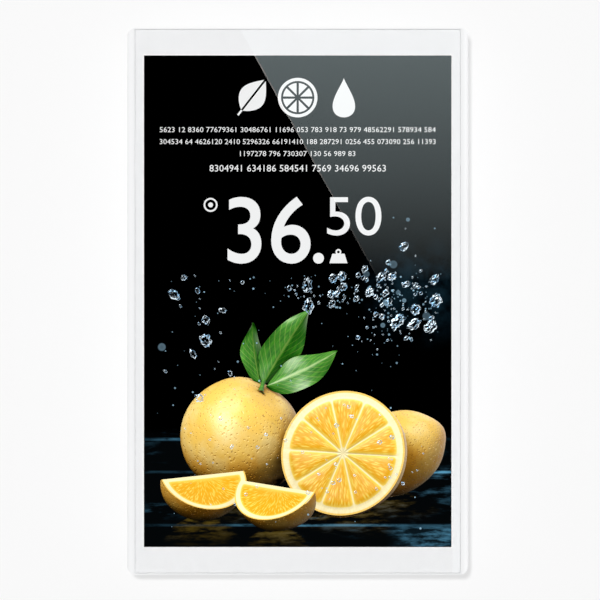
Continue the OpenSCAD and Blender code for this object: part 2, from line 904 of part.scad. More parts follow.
// Places of the loudspeakers' screws
module at_ears() {
  for (x = [-1, 1], s = [-1, 1])
    translate([x * speaker_x, 0, speaker_z + s * (speaker_h + ear_h) / 2]) children();
}

module speaker_screws() {
  ear_low = ear_f - ear_t;
  color("silver") at_ears() {
    rod(ear_head_r, ear_low - ear_head_h, ear_low);
    rod(ear_screw_r, ear_low, body_d - cover_wall);
  }
}

// Keys

module key_tape() {
  color("gray") block(key_x, key_z, key_board_w, key_board_l, chassis_rear, key_board_f);
}

module key_board() {
  color("darkgreen") block(key_x, key_z, key_board_w, key_board_l, key_board_f, switch_f);
}

module key_flex() {
  left = standoff_x;
  bend_x = board_w / 2 + key_flex_inset;
  right = key_x - switch_side / 2 - screw_fit;
  color("darkorange") {
    block((bend_x + right) / 2, key_z, right - bend_x, key_flex_w, switch_f, switch_f + flex_t);
    block(bend_x + flex_t / 2, key_z, flex_t, key_flex_w, switch_f, board_rear + flex_t);
    block((left + bend_x + flex_t) / 2, key_z, bend_x + flex_t - left, key_flex_w,
      board_rear, board_rear + flex_t);
  }
}

module key_switches() {
  color("dimgray") for (i = [0 : 2]) difference() {
    block(key_x, key_at(i), switch_side, switch_side, switch_f, switch_top);
    translate([key_x, 0, key_at(i)])
      rod(plunger_r + plunger_fit, plunger_f - key_travel - plunger_fit, switch_top + over);
  }
}

module plunger(i) {
  color("ivory") translate([key_x, 0, key_at(i)]) rod(plunger_r, plunger_f, flange_f);
}

module plunger_up() {
  plunger(0);
}

module plunger_power() {
  plunger(1);
}

module plunger_down() {
  plunger(2);
}

module button(i) {
  top_f = slab_d + key_proud;
  color("whitesmoke") translate([key_x, 0, key_at(i)]) {
    between(flange_f, flange_f + flange_t)
      slot_2d(key_w + 2 * flange_lip, key_l + 2 * flange_lip);
    between(flange_f, top_f - cap_bevel) slot_2d(key_w, key_l);
    between(flange_f, top_f) slot_2d(key_w - 2 * cap_bevel, key_l - 2 * cap_bevel);
  }
}

module button_up() {
  button(0);
}

module button_power() {
  button(1);
}

module button_down() {
  button(2);
}

// Rear cover

module recess_block(grow, floor_f) {
  translate([-port_w / 2 - grow, fy(floor_f), -body_h / 2 - over])
    cube([port_w + 2 * grow, body_d + over - floor_f, body_h / 2 + over - port_drop + grow]);
}

module cover_shell() {
  difference() {
    union() {
      intersection() {
        between(frame_d, slab_d) round_rect(body_w, body_h, corner_r);
        along_height() edge_section(body_w, frame_d, slab_d, rear_side_round, false);
        along_width() edge_section(body_h, frame_d, slab_d, rear_end_round, false);
      }
      drafted(bay_w, bay_h, bay_r, bay_draft, slab_d - cover_wall, body_d - bay_bevel);
      drafted(bay_w - 2 * bay_draft, bay_h - 2 * bay_draft, bay_r - bay_draft, bay_bevel,
        body_d - bay_bevel, body_d);
    }
    difference() {
      union() {
        between(frame_d - over, slab_d - cover_wall)
          round_rect(inner_w, inner_h, corner_r - frame_wall);
        drafted(bay_w - 2 * cover_wall, bay_h - 2 * cover_wall, bay_r - cover_wall, bay_draft,
          slab_d - 2 * cover_wall, body_d - cover_wall);
      }
      recess_block(cover_wall, frame_d);
    }
    recess_block(0, port_floor);
  }
}

// Rim that centres the cover in the front frame
module cover_rim() {
  difference() {
    union() {
      between(frame_d - rim_h, frame_d)
        round_rect(inner_w - 2 * rim_fit, inner_h - 2 * rim_fit, corner_r - frame_wall - rim_fit);
      between(frame_d, frame_d + rim_t)
        round_rect(inner_w + rim_t, inner_h + rim_t, corner_r - frame_wall);
    }
    between(frame_d - rim_h - over, frame_d + rim_t + over)
      square([inner_w - 2 * (rim_fit + rim_t), inner_h - 2 * (rim_fit + rim_t)], center = true);
    at_cover_screws() rod(boss_r + rim_fit, frame_d - rim_h - over, frame_d);
    at_chassis_screws() rod(boss_r + rim_fit, frame_d - rim_h - over, frame_d);
  }
}

// Hexagonal field of round holes over a loudspeaker
module grille_holes(x) {
  row_share = sqrt(3) / 2;
  for (j = [-grille_rings : grille_rings], i = [-grille_rings : grille_rings])
    if (abs(i + j) <= grille_rings)
      translate([x + (i + j / 2) * grille_pitch, 0, speaker_z + j * row_share * grille_pitch])
        rod(grille_hole_r, body_d - cover_wall - over, body_d + over);
}

module vent_row(z, count) {
  for (i = [0 : count - 1])
    translate([(i - (count - 1) / 2) * vent_pitch, 0, z])
      between(body_d - cover_wall - over, body_d + over) slot_2d(vent_w, vent_l);
}

module cover_ribs() {
  half = mount_pitch / 2;
  f0 = body_d - cover_wall - rib_h;
  f1 = body_d - cover_wall / 2;
  for (s = [-1, 1]) {
    block(0, s * half, mount_pitch, rib_t, f0, f1);
    block(s * half, 0, rib_t, mount_pitch, f0, f1);
  }
}

module rear_cover() {
  pocket_f = body_d - insert_l;
  color("white") difference() {
    union() {
      cover_shell();
      cover_rim();
      cover_ribs();
      at_inserts() rod(insert_boss_r, pocket_f - pocket_floor, body_d - cover_wall / 2);
      at_cover_screws() rod(cover_boss_r, frame_d, slab_d - cover_wall / 2);
      at_ears() rod(ear_boss_r, ear_f, body_d - cover_wall / 2);
    }
    at_inserts() rod(insert_r + pocket_fit, pocket_f, body_d + over);
    at_cover_screws() rod(screw_r + screw_fit, frame_d - over, slab_d);
    at_cover_screws() rod(cover_head_r + screw_fit, slab_d - cover_head_depth, slab_d + over);
    at_ears() rod(ear_screw_r + screw_fit, ear_f - over, body_d - cover_wall);
    for (s = sockets) translate([s[0] - s[1] / 2 - socket_fit, fy(board_rear) - socket_fit,
      -port_drop - over])
      cube([s[1] + 2 * socket_fit, s[2] + 2 * socket_fit, cover_wall + 2 * over]);
    for (i = [0 : 2]) translate([key_x, 0, key_at(i)])
      between(slab_d - cover_wall - over, slab_d + over)
        slot_2d(key_w + 2 * key_fit, key_l + 2 * key_fit);
    for (s = [-1, 1]) {
      grille_holes(s * speaker_x);
      vent_row(speaker_z + s * (vent_l + vent_row_gap) / 2, vent_count);
    }
    vent_row(low_vent_z, 2 * vent_count - 1);
  }
}

module mount_inserts() {
  color("gold") at_inserts() difference() {
    rod(insert_r, body_d - insert_l, body_d);
    rod(insert_bore_r, body_d - insert_l - over, body_d + over);
  }
}

module cover_screws() {
  seat_f = slab_d - cover_head_depth;
  color("silver") at_cover_screws()
    screw(cover_head_r, cover_head_h, seat_f, frame_d - screw_bite, screw_r);
}

cover_glass();
border_print();
bonding_tape();
front_frame();
panel_gasket();
polarizer_front();
colour_filter_glass();
transistor_glass();
driver_chips();
polarizer_rear();
prism_films();
diffuser_film();
light_guide();
reflector_sheet();
led_strip();
leds();
panel_frame();
panel_tray();
panel_flex();
foam_pads();
chassis_plate();
chassis_screws();
main_board();
board_screws();
panel_connector();
processor();
thermal_pad();
heat_sink();
memory_chips();
shield_can();
board_parts();
coin_holder();
coin_cell();
dc_jack();
hdmi_socket();
usb_a_socket();
usb_c_socket();
card_slot();
lan_socket();
speaker_left();
speaker_right();
speaker_screws();
key_tape();
key_board();
key_flex();
key_switches();
plunger_up();
plunger_power();
plunger_down();
button_up();
button_power();
button_down();
rear_cover();
mount_inserts();
cover_screws();
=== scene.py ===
"""Finishes, lit picture and studio for a small portrait signage display that hangs on a wall."""

import functools
import math
import random
from typing import NamedTuple

import bpy
from bpy.props import FloatProperty, FloatVectorProperty, IntProperty, PointerProperty
from mathutils import Matrix, Vector, noise
from mathutils.bvhtree import BVHTree


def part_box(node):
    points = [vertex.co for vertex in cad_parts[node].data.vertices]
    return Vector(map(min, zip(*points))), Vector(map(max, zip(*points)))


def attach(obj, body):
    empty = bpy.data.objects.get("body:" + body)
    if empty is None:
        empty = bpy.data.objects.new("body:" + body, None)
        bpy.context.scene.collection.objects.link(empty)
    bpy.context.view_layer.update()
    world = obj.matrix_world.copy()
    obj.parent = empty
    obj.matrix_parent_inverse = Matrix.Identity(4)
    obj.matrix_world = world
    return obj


bl_info = {
    "name": "Signage display finishes",
    "version": (1, 0, 0),
    "blender": (4, 5, 0),
    "location": "View3D > Sidebar > Display",
    "description": "Dresses a portrait signage display and draws the picture that it shows",
    "category": "Object",
}

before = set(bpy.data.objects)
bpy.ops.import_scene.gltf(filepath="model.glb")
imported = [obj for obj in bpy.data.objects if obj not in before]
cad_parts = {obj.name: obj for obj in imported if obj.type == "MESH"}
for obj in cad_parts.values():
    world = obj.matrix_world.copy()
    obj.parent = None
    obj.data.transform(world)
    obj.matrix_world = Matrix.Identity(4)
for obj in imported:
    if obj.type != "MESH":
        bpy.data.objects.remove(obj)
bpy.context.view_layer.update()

MM = 0.001
UP = Vector((0, 0, 1))
VIEWER = Vector((0, -1, 0))

# Panel front, glass and picture, from the frame
PANEL_LOW, PANEL_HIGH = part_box("polarizer_front")
GLASS_LOW, GLASS_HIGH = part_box("cover_glass")
PICTURE_MARGIN = 0.3 * MM
PICTURE_HALF_W = PANEL_HIGH.x - PICTURE_MARGIN
PICTURE_HALF_H = PANEL_HIGH.z - PICTURE_MARGIN
PANEL_GAP = PANEL_LOW.y - GLASS_HIGH.y
GROUND_Y = PANEL_LOW.y - 0.04 * PANEL_GAP
LETTER_Y = PANEL_LOW.y - 0.74 * PANEL_GAP
SCENE_MID_Y = PANEL_LOW.y - 0.38 * PANEL_GAP
# Depth of the still life, and how flat it is pressed into the gap
SCENE_HALF_DEPTH = 90 * MM
PRESS = 0.28 * PANEL_GAP / SCENE_HALF_DEPTH

# Still life: the table's front line in the picture and the slope at which it is seen
TABLE_LINE = -91 * MM
TABLE_TILT = math.radians(14)
TO_PICTURE = Matrix.Translation((0, 0, TABLE_LINE)) @ Matrix.Rotation(TABLE_TILT, 4, "X")
KEY_DIRECTION = Vector((-0.46, -0.62, 0.64)).normalized()
FILL_DIRECTION = Vector((0.85, -0.35, 0.25)).normalized()
SEGMENTS = 10


def colour_property(name, description, default):
    """A colour that the sidebar shows."""
    return FloatVectorProperty(
        name=name, description=description, default=default, min=0, max=1, size=3, subtype="COLOR"
    )


def length_property(name, description, default):
    """A length in metres that the sidebar shows."""
    return FloatProperty(name=name, description=description, default=default, min=0, unit="LENGTH")


class DisplayHousing(bpy.types.PropertyGroup):
    """Colours of the outside of the display."""

    border: colour_property("Border", "Print behind the cover glass", (0.952, 0.958, 0.966))
    housing: colour_property("Housing", "Moulded front frame and rear cover", (0.905, 0.91, 0.917))
    keys: colour_property("Keys", "Key caps at the rear", (0.56, 0.57, 0.59))
    glass_index: FloatProperty(name="Glass index", description="Refractive index", default=1.5, min=1)


class DisplayPicture(bpy.types.PropertyGroup):
    """Colours and sizes of the picture that the panel shows."""

    brightness: FloatProperty(name="Brightness", description="Light of the panel", default=1, min=0)
    skin: colour_property("Skin", "Sunny side of the whole fruit", (0.93, 0.585, 0.11))
    blush: colour_property("Blush", "Paler patches of the skin", (0.96, 0.72, 0.27))
    flesh: colour_property("Flesh", "Juicy flesh", (0.97, 0.62, 0.04))
    pith: colour_property("Pith", "White layer under the skin", (0.96, 0.83, 0.46))
    leaf: colour_property("Leaf", "Upper side of the leaves", (0.045, 0.2, 0.03))
    water: colour_property("Water", "Light in the drops", (0.72, 0.84, 0.92))
    slate: colour_property("Slate", "Glints on the wet table", (0.04, 0.13, 0.2))
    letter: colour_property("Lettering", "Lines, numerals and signs", (0.97, 0.98, 0.98))
    fruit_radius: length_property("Fruit radius", "Radius of the whole fruit", 27 * MM)
    half_radius: length_property("Half radius", "Radius of the halved fruit", 28 * MM)
    wedge_radius: length_property("Wedge radius", "Radius of the cut wedges", 20 * MM)
    numeral_height: length_property("Numeral height", "Height of the large numerals", 29.6 * MM)
    sign_height: length_property("Sign height", "Height of the signs above the lines", 17.5 * MM)
    drops: IntProperty(name="Drops", description="Water drops in the air", default=130, min=0)


class DisplayStudio(bpy.types.PropertyGroup):
    """Camera, light and backdrop."""

    distance: length_property("Camera distance", "From the glass", 2.0)
    view_width: length_property("View width", "Width seen at the glass", 0.26502)
    wall_tone: FloatProperty(name="Wall tone", description="Wall as the camera sees it", default=0.965)
    ambient: FloatProperty(name="Ambient", description="Light of the surroundings", default=0.47)
    key_watts: FloatProperty(name="Key", description="Key lamp, in watts", default=48, unit="POWER")
    side_watts: FloatProperty(name="Side", description="Side lamps, in watts", default=27, unit="POWER")
    rear_watts: FloatProperty(name="Rear", description="Rear lamps, in watts", default=20, unit="POWER")
    glare: FloatProperty(name="Glare", description="Brightness of the window in the glass", default=1.68)


class Web:
    """Adds nodes to one tree with short calls. A value is a number, a tuple or another node's output."""

    def __init__(self, tree):
        self.tree = tree

    def node(self, kind, values=None, **settings):
        """A node with its settings, and with a value or a link in each named socket."""
        node = self.tree.nodes.new(kind)
        for name, value in settings.items():
            setattr(node, name, value)
        for name, value in (values or {}).items():
            self.feed(node.inputs[name], value)
        return node

    def feed(self, socket, value):
        """Links an output to the socket, or sets the socket to a plain value."""
        if isinstance(value, bpy.types.NodeSocket):
            self.tree.links.new(value, socket)
        elif socket.type == "RGBA":
            socket.default_value = (*tuple(value)[:3], 1)
        else:
            socket.default_value = value

    def math(self, operation, a, b=0.0, c=0.0, clamp=False):
        values = {0: a, 1: b, 2: c}
        return self.node("ShaderNodeMath", values, operation=operation, use_clamp=clamp).outputs[0]

    def vector(self, operation, a, b=(0, 0, 0)):
        """The number or vector that an operation on vectors gives."""
        node = self.node("ShaderNodeVectorMath", {0: a, 1: b}, operation=operation)
        return node.outputs["Value" if operation in ("DOT_PRODUCT", "LENGTH") else "Vector"]

    def scaled(self, a, factor):
        return self.node("ShaderNodeVectorMath", {0: a, "Scale": factor}, operation="SCALE").outputs[0]

    def mix(self, factor, a, b, blend="MIX"):
        values = {0: factor, 6: a, 7: b}
        return self.node("ShaderNodeMix", values, data_type="RGBA", blend_type=blend).outputs[2]

    def ramp(self, value, low, high, to_low=0.0, to_high=1.0):
        """A smooth step between two values."""
        values = {"Value": value, "From Min": low, "From Max": high, "To Min": to_low, "To Max": to_high}
        return self.node("ShaderNodeMapRange", values, interpolation_type="SMOOTHSTEP").outputs[0]

    def noise(self, place, scale, detail=2.0, roughness=0.5):
        values = {"Vector": place, "Scale": scale, "Detail": detail, "Roughness": roughness}
        return self.node("ShaderNodeTexNoise", values)

    def parts(self, vector):
        return self.node("ShaderNodeSeparateXYZ", {0: vector}).outputs

    def attribute(self, name):
        return self.node("ShaderNodeAttribute", attribute_name=name).outputs["Vector"]

    def object_place(self):
        return self.node("ShaderNodeTexCoord").outputs["Object"]

    def group(self, name, values):
        """The outputs of a shader node group of EFFECTS, with its inputs fed."""
        node = self.node("ShaderNodeGroup", node_tree=effect(name))
        for key, value in values.items():
            self.feed(node.inputs[key], value)
        return node.outputs


SOCKETS = {"float": "NodeSocketFloat", "colour": "NodeSocketColor", "vector": "NodeSocketVector"}


def new_group(name, inputs, outputs):
    """An empty shader node group with named sockets, its web, its input sockets and its output node."""
    tree = bpy.data.node_groups.new(name, "ShaderNodeTree")
    for socket, kind in inputs.items():
        tree.interface.new_socket(socket, in_out="INPUT", socket_type=SOCKETS[kind])
    for socket, kind in outputs.items():
        tree.interface.new_socket(socket, in_out="OUTPUT", socket_type=SOCKETS[kind])
    web = Web(tree)
    given = web.node("NodeGroupInput").outputs
    return web, given, web.node("NodeGroupOutput").inputs


def moulded_grain():
    """Plastic and paint: faint cloudy tone, fine texture height and uneven gloss."""
    web, given, out = new_group(
        "Moulded grain",
        {"Colour": "colour", "Shift": "float", "Roughness": "float", "Scale": "float"},
        {"Colour": "colour", "Roughness": "float", "Height": "float"},
    )
    place = web.object_place()
    cloud = web.noise(place, 26, 3).outputs[0]
    grain = web.noise(place, given["Scale"], 3, 0.6).outputs[0]
    darker = web.mix(1, given["Colour"], web.math("MULTIPLY_ADD", grain, 0.5, 0.5), "MULTIPLY")
    amount = web.math("MULTIPLY", web.math("ADD", cloud, grain), given["Shift"])
    web.feed(out["Colour"], web.mix(amount, given["Colour"], darker))
    gloss = web.math("MULTIPLY_ADD", web.math("SUBTRACT", cloud, 0.5), 0.12, given["Roughness"])
    web.feed(out["Roughness"], web.math("MULTIPLY_ADD", grain, 0.05, gloss))
    web.feed(out["Height"], grain)
    return web.tree


def drawn_metal():
    """Sheet and plated metal: streaks along one way, with soft stains."""
    web, given, out = new_group(
        "Drawn metal",
        {"Colour": "colour", "Shift": "float", "Roughness": "float", "Scale": "float"},
        {"Colour": "colour", "Roughness": "float", "Height": "float"},
    )
    place = web.object_place()
    streak = web.noise(web.vector("MULTIPLY", place, (1.0, 1.0, 0.04)), given["Scale"], 4, 0.65).outputs[0]
    stain = web.noise(place, 60, 3).outputs[0]
    dull = web.mix(1, given["Colour"], web.math("MULTIPLY_ADD", streak, 0.6, 0.35), "MULTIPLY")
    amount = web.math("MULTIPLY", web.math("ADD", streak, stain), given["Shift"])
    web.feed(out["Colour"], web.mix(amount, given["Colour"], dull))
    gloss = web.math("MULTIPLY_ADD", web.math("SUBTRACT", streak, 0.5), 0.25, given["Roughness"])
    web.feed(out["Roughness"], web.math("MULTIPLY_ADD", stain, 0.08, gloss, clamp=True))
    web.feed(out["Height"], streak)
    return web.tree


def board_tracks():
    """Circuit board: solder mask with raised copper tracks and plated holes."""
    web, given, out = new_group(
        "Board tracks",
        {"Colour": "colour", "Shift": "float", "Roughness": "float", "Scale": "float"},
        {"Colour": "colour", "Roughness": "float", "Height": "float"},
    )
    flat = web.vector("MULTIPLY", web.object_place(), (1.0, 0.0, 1.0))
    values = {"Vector": flat, "Scale": given["Scale"]}
    cells = web.node("ShaderNodeTexVoronoi", values, distance="CHEBYCHEV", feature="F1")
    track = web.ramp(web.math("PINGPONG", cells.outputs["Distance"], 0.09), 0.03, 0.06)
    hole = web.ramp(cells.outputs["Distance"], 0.05, 0.03)
    raised = web.mix(1, given["Colour"], (1.9, 1.7, 1.5), "MULTIPLY")
    mask = web.mix(web.math("MULTIPLY", track, given["Shift"]), given["Colour"], raised)
    web.feed(out["Colour"], web.mix(hole, mask, (0.78, 0.66, 0.4)))
    web.feed(out["Roughness"], web.math("MULTIPLY_ADD", track, -0.08, given["Roughness"]))
    web.feed(out["Height"], web.math("ADD", track, hole))
    return web.tree


# How far from the window's edge the border's print turns from its open tone to pure white, a painted bright
# halo along the window
BORDER_HALO = (0.8 * MM, 0.4 * MM)


def border_ink_and_halo():
    """White print behind the glass, a little cloudy in the open border, with a painted bright halo of pure
    white along the window.
    """
    web, given, out = new_group(
        "Border ink and halo",
        {"Colour": "colour", "Shift": "float", "Roughness": "float", "Scale": "float"},
        {"Colour": "colour", "Roughness": "float", "Height": "float"},
    )
    points = [v.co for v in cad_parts["border_print"].data.vertices]
    half_w, half_h = min(abs(p.x) for p in points), min(abs(p.z) for p in points)
    place = web.object_place()
    x, _, z = web.parts(place)
    across = web.math("SUBTRACT", web.math("ABSOLUTE", x), half_w)
    along = web.math("SUBTRACT", web.math("ABSOLUTE", z), half_h)
    # Painted bright halo: the print turns pure white close to the window
    edge = web.ramp(web.math("MAXIMUM", across, along), *BORDER_HALO)
    grain = web.noise(place, given["Scale"], 2).outputs[0]
    cloudy = web.mix(web.math("MULTIPLY", grain, given["Shift"]), given["Colour"], (0.8, 0.8, 0.82))
    web.feed(out["Colour"], web.mix(edge, cloudy, (1.0, 1.0, 1.0)))
    web.feed(out["Roughness"], web.math("MULTIPLY_ADD", grain, 0.1, given["Roughness"]))
    web.feed(out["Height"], grain)
    return web.tree


def panel_light():
    """The backlight's evenness: a little stronger near its strip of lamps and weaker in the corners."""
    web, given, out = new_group("Panel light", {"Colour": "colour"}, {"Colour": "colour"})
    place = web.parts(web.object_place())
    height = web.ramp(place["Z"], -PICTURE_HALF_H, PICTURE_HALF_H, 1.0, 0.965)
    side = web.ramp(web.math("ABSOLUTE", place["X"]), 0.6 * PICTURE_HALF_W, PICTURE_HALF_W, 1.0, 0.975)
    web.feed(out["Colour"], web.mix(1, given["Colour"], web.math("MULTIPLY", height, side), "MULTIPLY"))
    return web.tree


def form_light():
    """Light on a pictured form, from its own normal and the openness stored with its points."""
    web, given, out = new_group(
        "Form light",
        {"Colour": "colour", "Normal": "vector", "Gloss": "float", "Polish": "float", "Glow": "float"},
        {"Colour": "colour"},
    )
    shade = web.parts(web.attribute("form_light"))
    normal = web.vector("NORMALIZE", given["Normal"])
    facing = web.vector("DOT_PRODUCT", normal, tuple(KEY_DIRECTION))
    wrapped = web.ramp(facing, -0.15, 1.0)
    key = web.math("MULTIPLY", web.math("MAXIMUM", facing, 0.0), shade["Y"])
    soft = web.math("MULTIPLY", web.math("MULTIPLY", wrapped, given["Glow"]), shade["X"])
    fill = web.math("MAXIMUM", web.vector("DOT_PRODUCT", normal, tuple(FILL_DIRECTION)), 0.0)
    fill = web.math("MULTIPLY", fill, web.math("MULTIPLY", shade["X"], 0.42))
    light = web.math("MULTIPLY_ADD", key, 0.86, web.math("ADD", soft, fill))
    front = web.math("MAXIMUM", web.vector("DOT_PRODUCT", normal, tuple(VIEWER)), 0.0)
    light = web.math("MULTIPLY_ADD", shade["X"], web.math("MULTIPLY_ADD", front, 0.28, 0.05), light)
    halfway = tuple((KEY_DIRECTION + VIEWER).normalized())
    spot = web.math("MAXIMUM", web.vector("DOT_PRODUCT", normal, halfway), 0.0)
    spot = web.math("POWER", spot, given["Polish"])
    spot = web.math("MULTIPLY", web.math("MULTIPLY", spot, given["Gloss"]), shade["Y"])
    turned = web.math("SUBTRACT", 1.0, front, clamp=True)
    rim = web.math("MULTIPLY", web.math("POWER", turned, 3.0), web.math("MULTIPLY", fill, 1.6))
    body = web.mix(1, given["Colour"], light, "MULTIPLY")
    red, green, blue = web.node("ShaderNodeSeparateColor", {0: given["Colour"]}).outputs
    peak = web.math("MAXIMUM", red, web.math("MAXIMUM", green, blue))
    hue = web.scaled(given["Colour"], web.math("DIVIDE", 1.0, peak))
    body = web.mix(web.ramp(light, 1.0, 0.15, 0.0, 0.9), body, hue, "MULTIPLY")
    lit = web.mix(1, body, web.scaled((1.0, 0.96, 0.86), web.math("ADD", spot, rim)), "ADD")
    web.feed(out["Colour"], web.group("Panel light", {"Colour": lit})["Colour"])
    return web.tree


def fruit_skin():
    """Citrus skin: cloudy ripeness, pores that catch the light and a few dark specks."""
    web, given, out = new_group(
        "Fruit skin",
        {"Colour": "colour", "Blush": "colour", "Place": "vector"},
        {"Colour": "colour", "Normal": "vector"},
    )
    place = given["Place"]
    ripe = web.ramp(web.noise(place, 1.3, 4, 0.6).outputs[0], 0.38, 0.66)
    base = web.mix(ripe, given["Colour"], given["Blush"])
    pores = web.node("ShaderNodeTexVoronoi", {"Vector": place, "Scale": 17.0}, feature="SMOOTH_F1")
    pit = web.ramp(pores.outputs["Distance"], 0.3, 0.05)
    base = web.mix(web.math("MULTIPLY", pit, 0.26), base, (0.6, 0.3, 0.03))
    speck = web.ramp(web.noise(place, 24, 1).outputs[0], 0.68, 0.74)
    web.feed(out["Colour"], web.mix(web.math("MULTIPLY", speck, 0.6), base, (0.22, 0.11, 0.03)))
    rough = web.noise(place, 9, 5, 0.7).outputs[0]
    height = web.math("MULTIPLY_ADD", rough, 0.7, web.math("MULTIPLY", pit, -0.8))
    bump = web.node("ShaderNodeBump", {"Height": height, "Distance": 0.24 * MM}).outputs[0]
    tilt = web.vector("SUBTRACT", bump, web.node("ShaderNodeNewGeometry").outputs["Normal"])
    web.feed(out["Normal"], web.vector("ADD", web.attribute("form_normal"), tilt))
    return web.tree


def fruit_flesh():
    """Cut citrus: radial segments of juice cells between pale walls, inside the pith and the skin."""
    web, given, out = new_group(
        "Fruit flesh",
        {"Colour": "colour", "Pith": "colour", "Skin": "colour", "Place": "vector"},
        {"Colour": "colour", "Normal": "vector"},
    )
    x, y, z = web.parts(given["Place"])
    reach = web.vector("LENGTH", given["Place"])
    axis = web.math("SQRT", web.math("ADD", web.math("MULTIPLY", x, x), web.math("MULTIPLY", y, y)))
    angle = web.math("ARCTAN2", y, x)
    turn = web.math("MULTIPLY_ADD", angle, SEGMENTS / math.tau, SEGMENTS)
    share = web.math("PINGPONG", web.math("FRACT", turn), 0.5)
    wall = web.math("MULTIPLY", web.math("MULTIPLY", share, math.tau / SEGMENTS), axis)
    rim = web.math("SUBTRACT", 0.885, reach)
    inner = web.math("SUBTRACT", axis, 0.07)
    inside = web.math("SMOOTH_MIN", web.math("SMOOTH_MIN", wall, rim, 0.09), inner, 0.05)
    slant = web.math("MULTIPLY", web.math("ARCTAN2", axis, z), 6.5)
    cell_place = web.node("ShaderNodeCombineXYZ", {0: web.math("MULTIPLY", angle, 6.5), 2: slant})
    web.feed(cell_place.inputs[1], web.math("MULTIPLY", reach, 2.2))
    values = {"Vector": cell_place.outputs[0], "Scale": 3.4, "Smoothness": 0.4}
    cells = web.node("ShaderNodeTexVoronoi", values, feature="SMOOTH_F1").outputs["Distance"]
    deep = web.mix(1, given["Colour"], (0.86, 0.66, 0.3), "MULTIPLY")
    pale = web.mix(0.35, given["Colour"], (1.0, 0.84, 0.24))
    juice = web.mix(web.ramp(cells, 0.12, 0.58), pale, deep)
    juice = web.mix(web.ramp(inside, 0.07, 0.0), juice, pale)
    walls = web.mix(web.ramp(inside, 0.0, 0.022), given["Pith"], juice)
    web.feed(out["Colour"], web.mix(web.ramp(reach, 0.962, 0.978), walls, given["Skin"]))
    shake = web.vector("SUBTRACT", web.noise(cell_place.outputs[0], 5, 2).outputs[1], (0.5, 0.5, 0.5))
    web.feed(out["Normal"], web.vector("ADD", web.attribute("form_normal"), web.scaled(shake, 0.3)))
    return web.tree


def leaf_blade():
    """A glossy leaf: pale middle rib, slanting veins and mottled green between them."""
    web, given, out = new_group(
        "Leaf blade",
        {"Colour": "colour", "Place": "vector"},
        {"Colour": "colour", "Normal": "vector"},
    )
    along, across, seed = web.parts(given["Place"])
    side = web.math("ABSOLUTE", across)
    vein = web.math("PINGPONG", web.math("MULTIPLY_ADD", along, 10.0, web.math("MULTIPLY", side, -3.2)), 0.5)
    lines = web.math("MAXIMUM", web.ramp(vein, 0.09, 0.02), web.ramp(side, 0.09, 0.03))
    mottle = web.noise(given["Place"], 7, 4, 0.6).outputs[0]
    young = web.mix(1, given["Colour"], (2.3, 1.9, 1.2), "MULTIPLY")
    base = web.mix(web.ramp(mottle, 0.3, 0.75), given["Colour"], young)
    web.feed(out["Colour"], web.mix(web.math("MULTIPLY", lines, 0.55), base, (0.34, 0.52, 0.12)))
    shake = web.vector("SUBTRACT", web.noise(given["Place"], 9, 2).outputs[1], (0.5, 0.5, 0.5))
    web.feed(out["Normal"], web.vector("ADD", web.attribute("form_normal"), web.scaled(shake, 0.35)))
    return web.tree


def water_bead():
    """A clear drop: a highlight towards the lamp, a glow opposite it, dark edges and bluish patches."""
    web, given, out = new_group("Water bead", {"Colour": "colour"}, {"Colour": "colour", "Alpha": "float"})
    normal = web.attribute("form_normal")
    place = web.attribute("form_place")
    ripple = web.noise(place, 2.2, 2).outputs[1]
    shake = web.scaled(web.vector("SUBTRACT", ripple, (0.5, 0.5, 0.5)), 2.6)
    normal = web.vector("NORMALIZE", web.vector("ADD", normal, shake))
    turned = web.math("MAXIMUM", web.vector("DOT_PRODUCT", normal, tuple(VIEWER)), 0.0)
    rim = web.ramp(turned, 0.75, 0.1)
    spot = web.ramp(web.vector("DOT_PRODUCT", normal, tuple(KEY_DIRECTION)), 0.9, 0.97)
    glow = web.ramp(web.vector("DOT_PRODUCT", normal, tuple(-KEY_DIRECTION)), -0.35, 0.5)
    light = web.math("MULTIPLY_ADD", rim, 0.7, web.math("MULTIPLY", glow, 1.0))
    light = web.math("MULTIPLY_ADD", spot, 3.0, light)
    dark_edge = web.ramp(web.vector("DOT_PRODUCT", web.attribute("form_normal"), tuple(VIEWER)), 0.7, 0.2)
    blue = web.ramp(web.noise(place, 0.8, 1).outputs[0], 0.48, 0.62, 0.0, 0.75)
    tint = web.mix(blue, given["Colour"], (0.12, 0.36, 0.62))
    web.feed(out["Colour"], web.scaled(tint, light))
    web.feed(out["Alpha"], web.math("ADD", light, web.math("MULTIPLY_ADD", dark_edge, 0.75, 0.1), clamp=True))
    return web.tree


def soft_disc():
    """An unfocused point of light: even in the middle and soft at its edge."""
    web, given, out = new_group("Soft disc", {"Colour": "colour"}, {"Colour": "colour", "Alpha": "float"})
    x, y, strength = web.parts(web.attribute("form_place"))
    radius = web.math("SQRT", web.math("ADD", web.math("MULTIPLY", x, x), web.math("MULTIPLY", y, y)))
    body = web.math("MULTIPLY_ADD", radius, 0.35, 0.65)
    edge = web.ramp(radius, 1.0, 0.72)
    bluish = web.mix(1, given["Colour"], (0.6, 0.85, 1.0), "MULTIPLY")
    web.feed(out["Colour"], web.group("Panel light", {"Colour": bluish})["Colour"])
    web.feed(out["Alpha"], web.math("MULTIPLY", web.math("MULTIPLY", edge, body), strength))
    return web.tree


# Wet edges of the table's boards: height in the picture and width
BOARD_EDGES = ((-61 * MM, 0.9 * MM), (-75.5 * MM, 0.8 * MM), (-99 * MM, 0.8 * MM))
# Bluish haze behind the drops, and how it fades inwards from its rim
HAZE_MIDDLE = Vector((54, 0, 6)) * MM
HAZE_FADE = (40 * MM, 4 * MM)
# Bright water in the lower right corner: its fade at the top and at the left
CORNER_TOP = (-98 * MM, -102 * MM)
CORNER_LEFT = (38 * MM, 52 * MM)


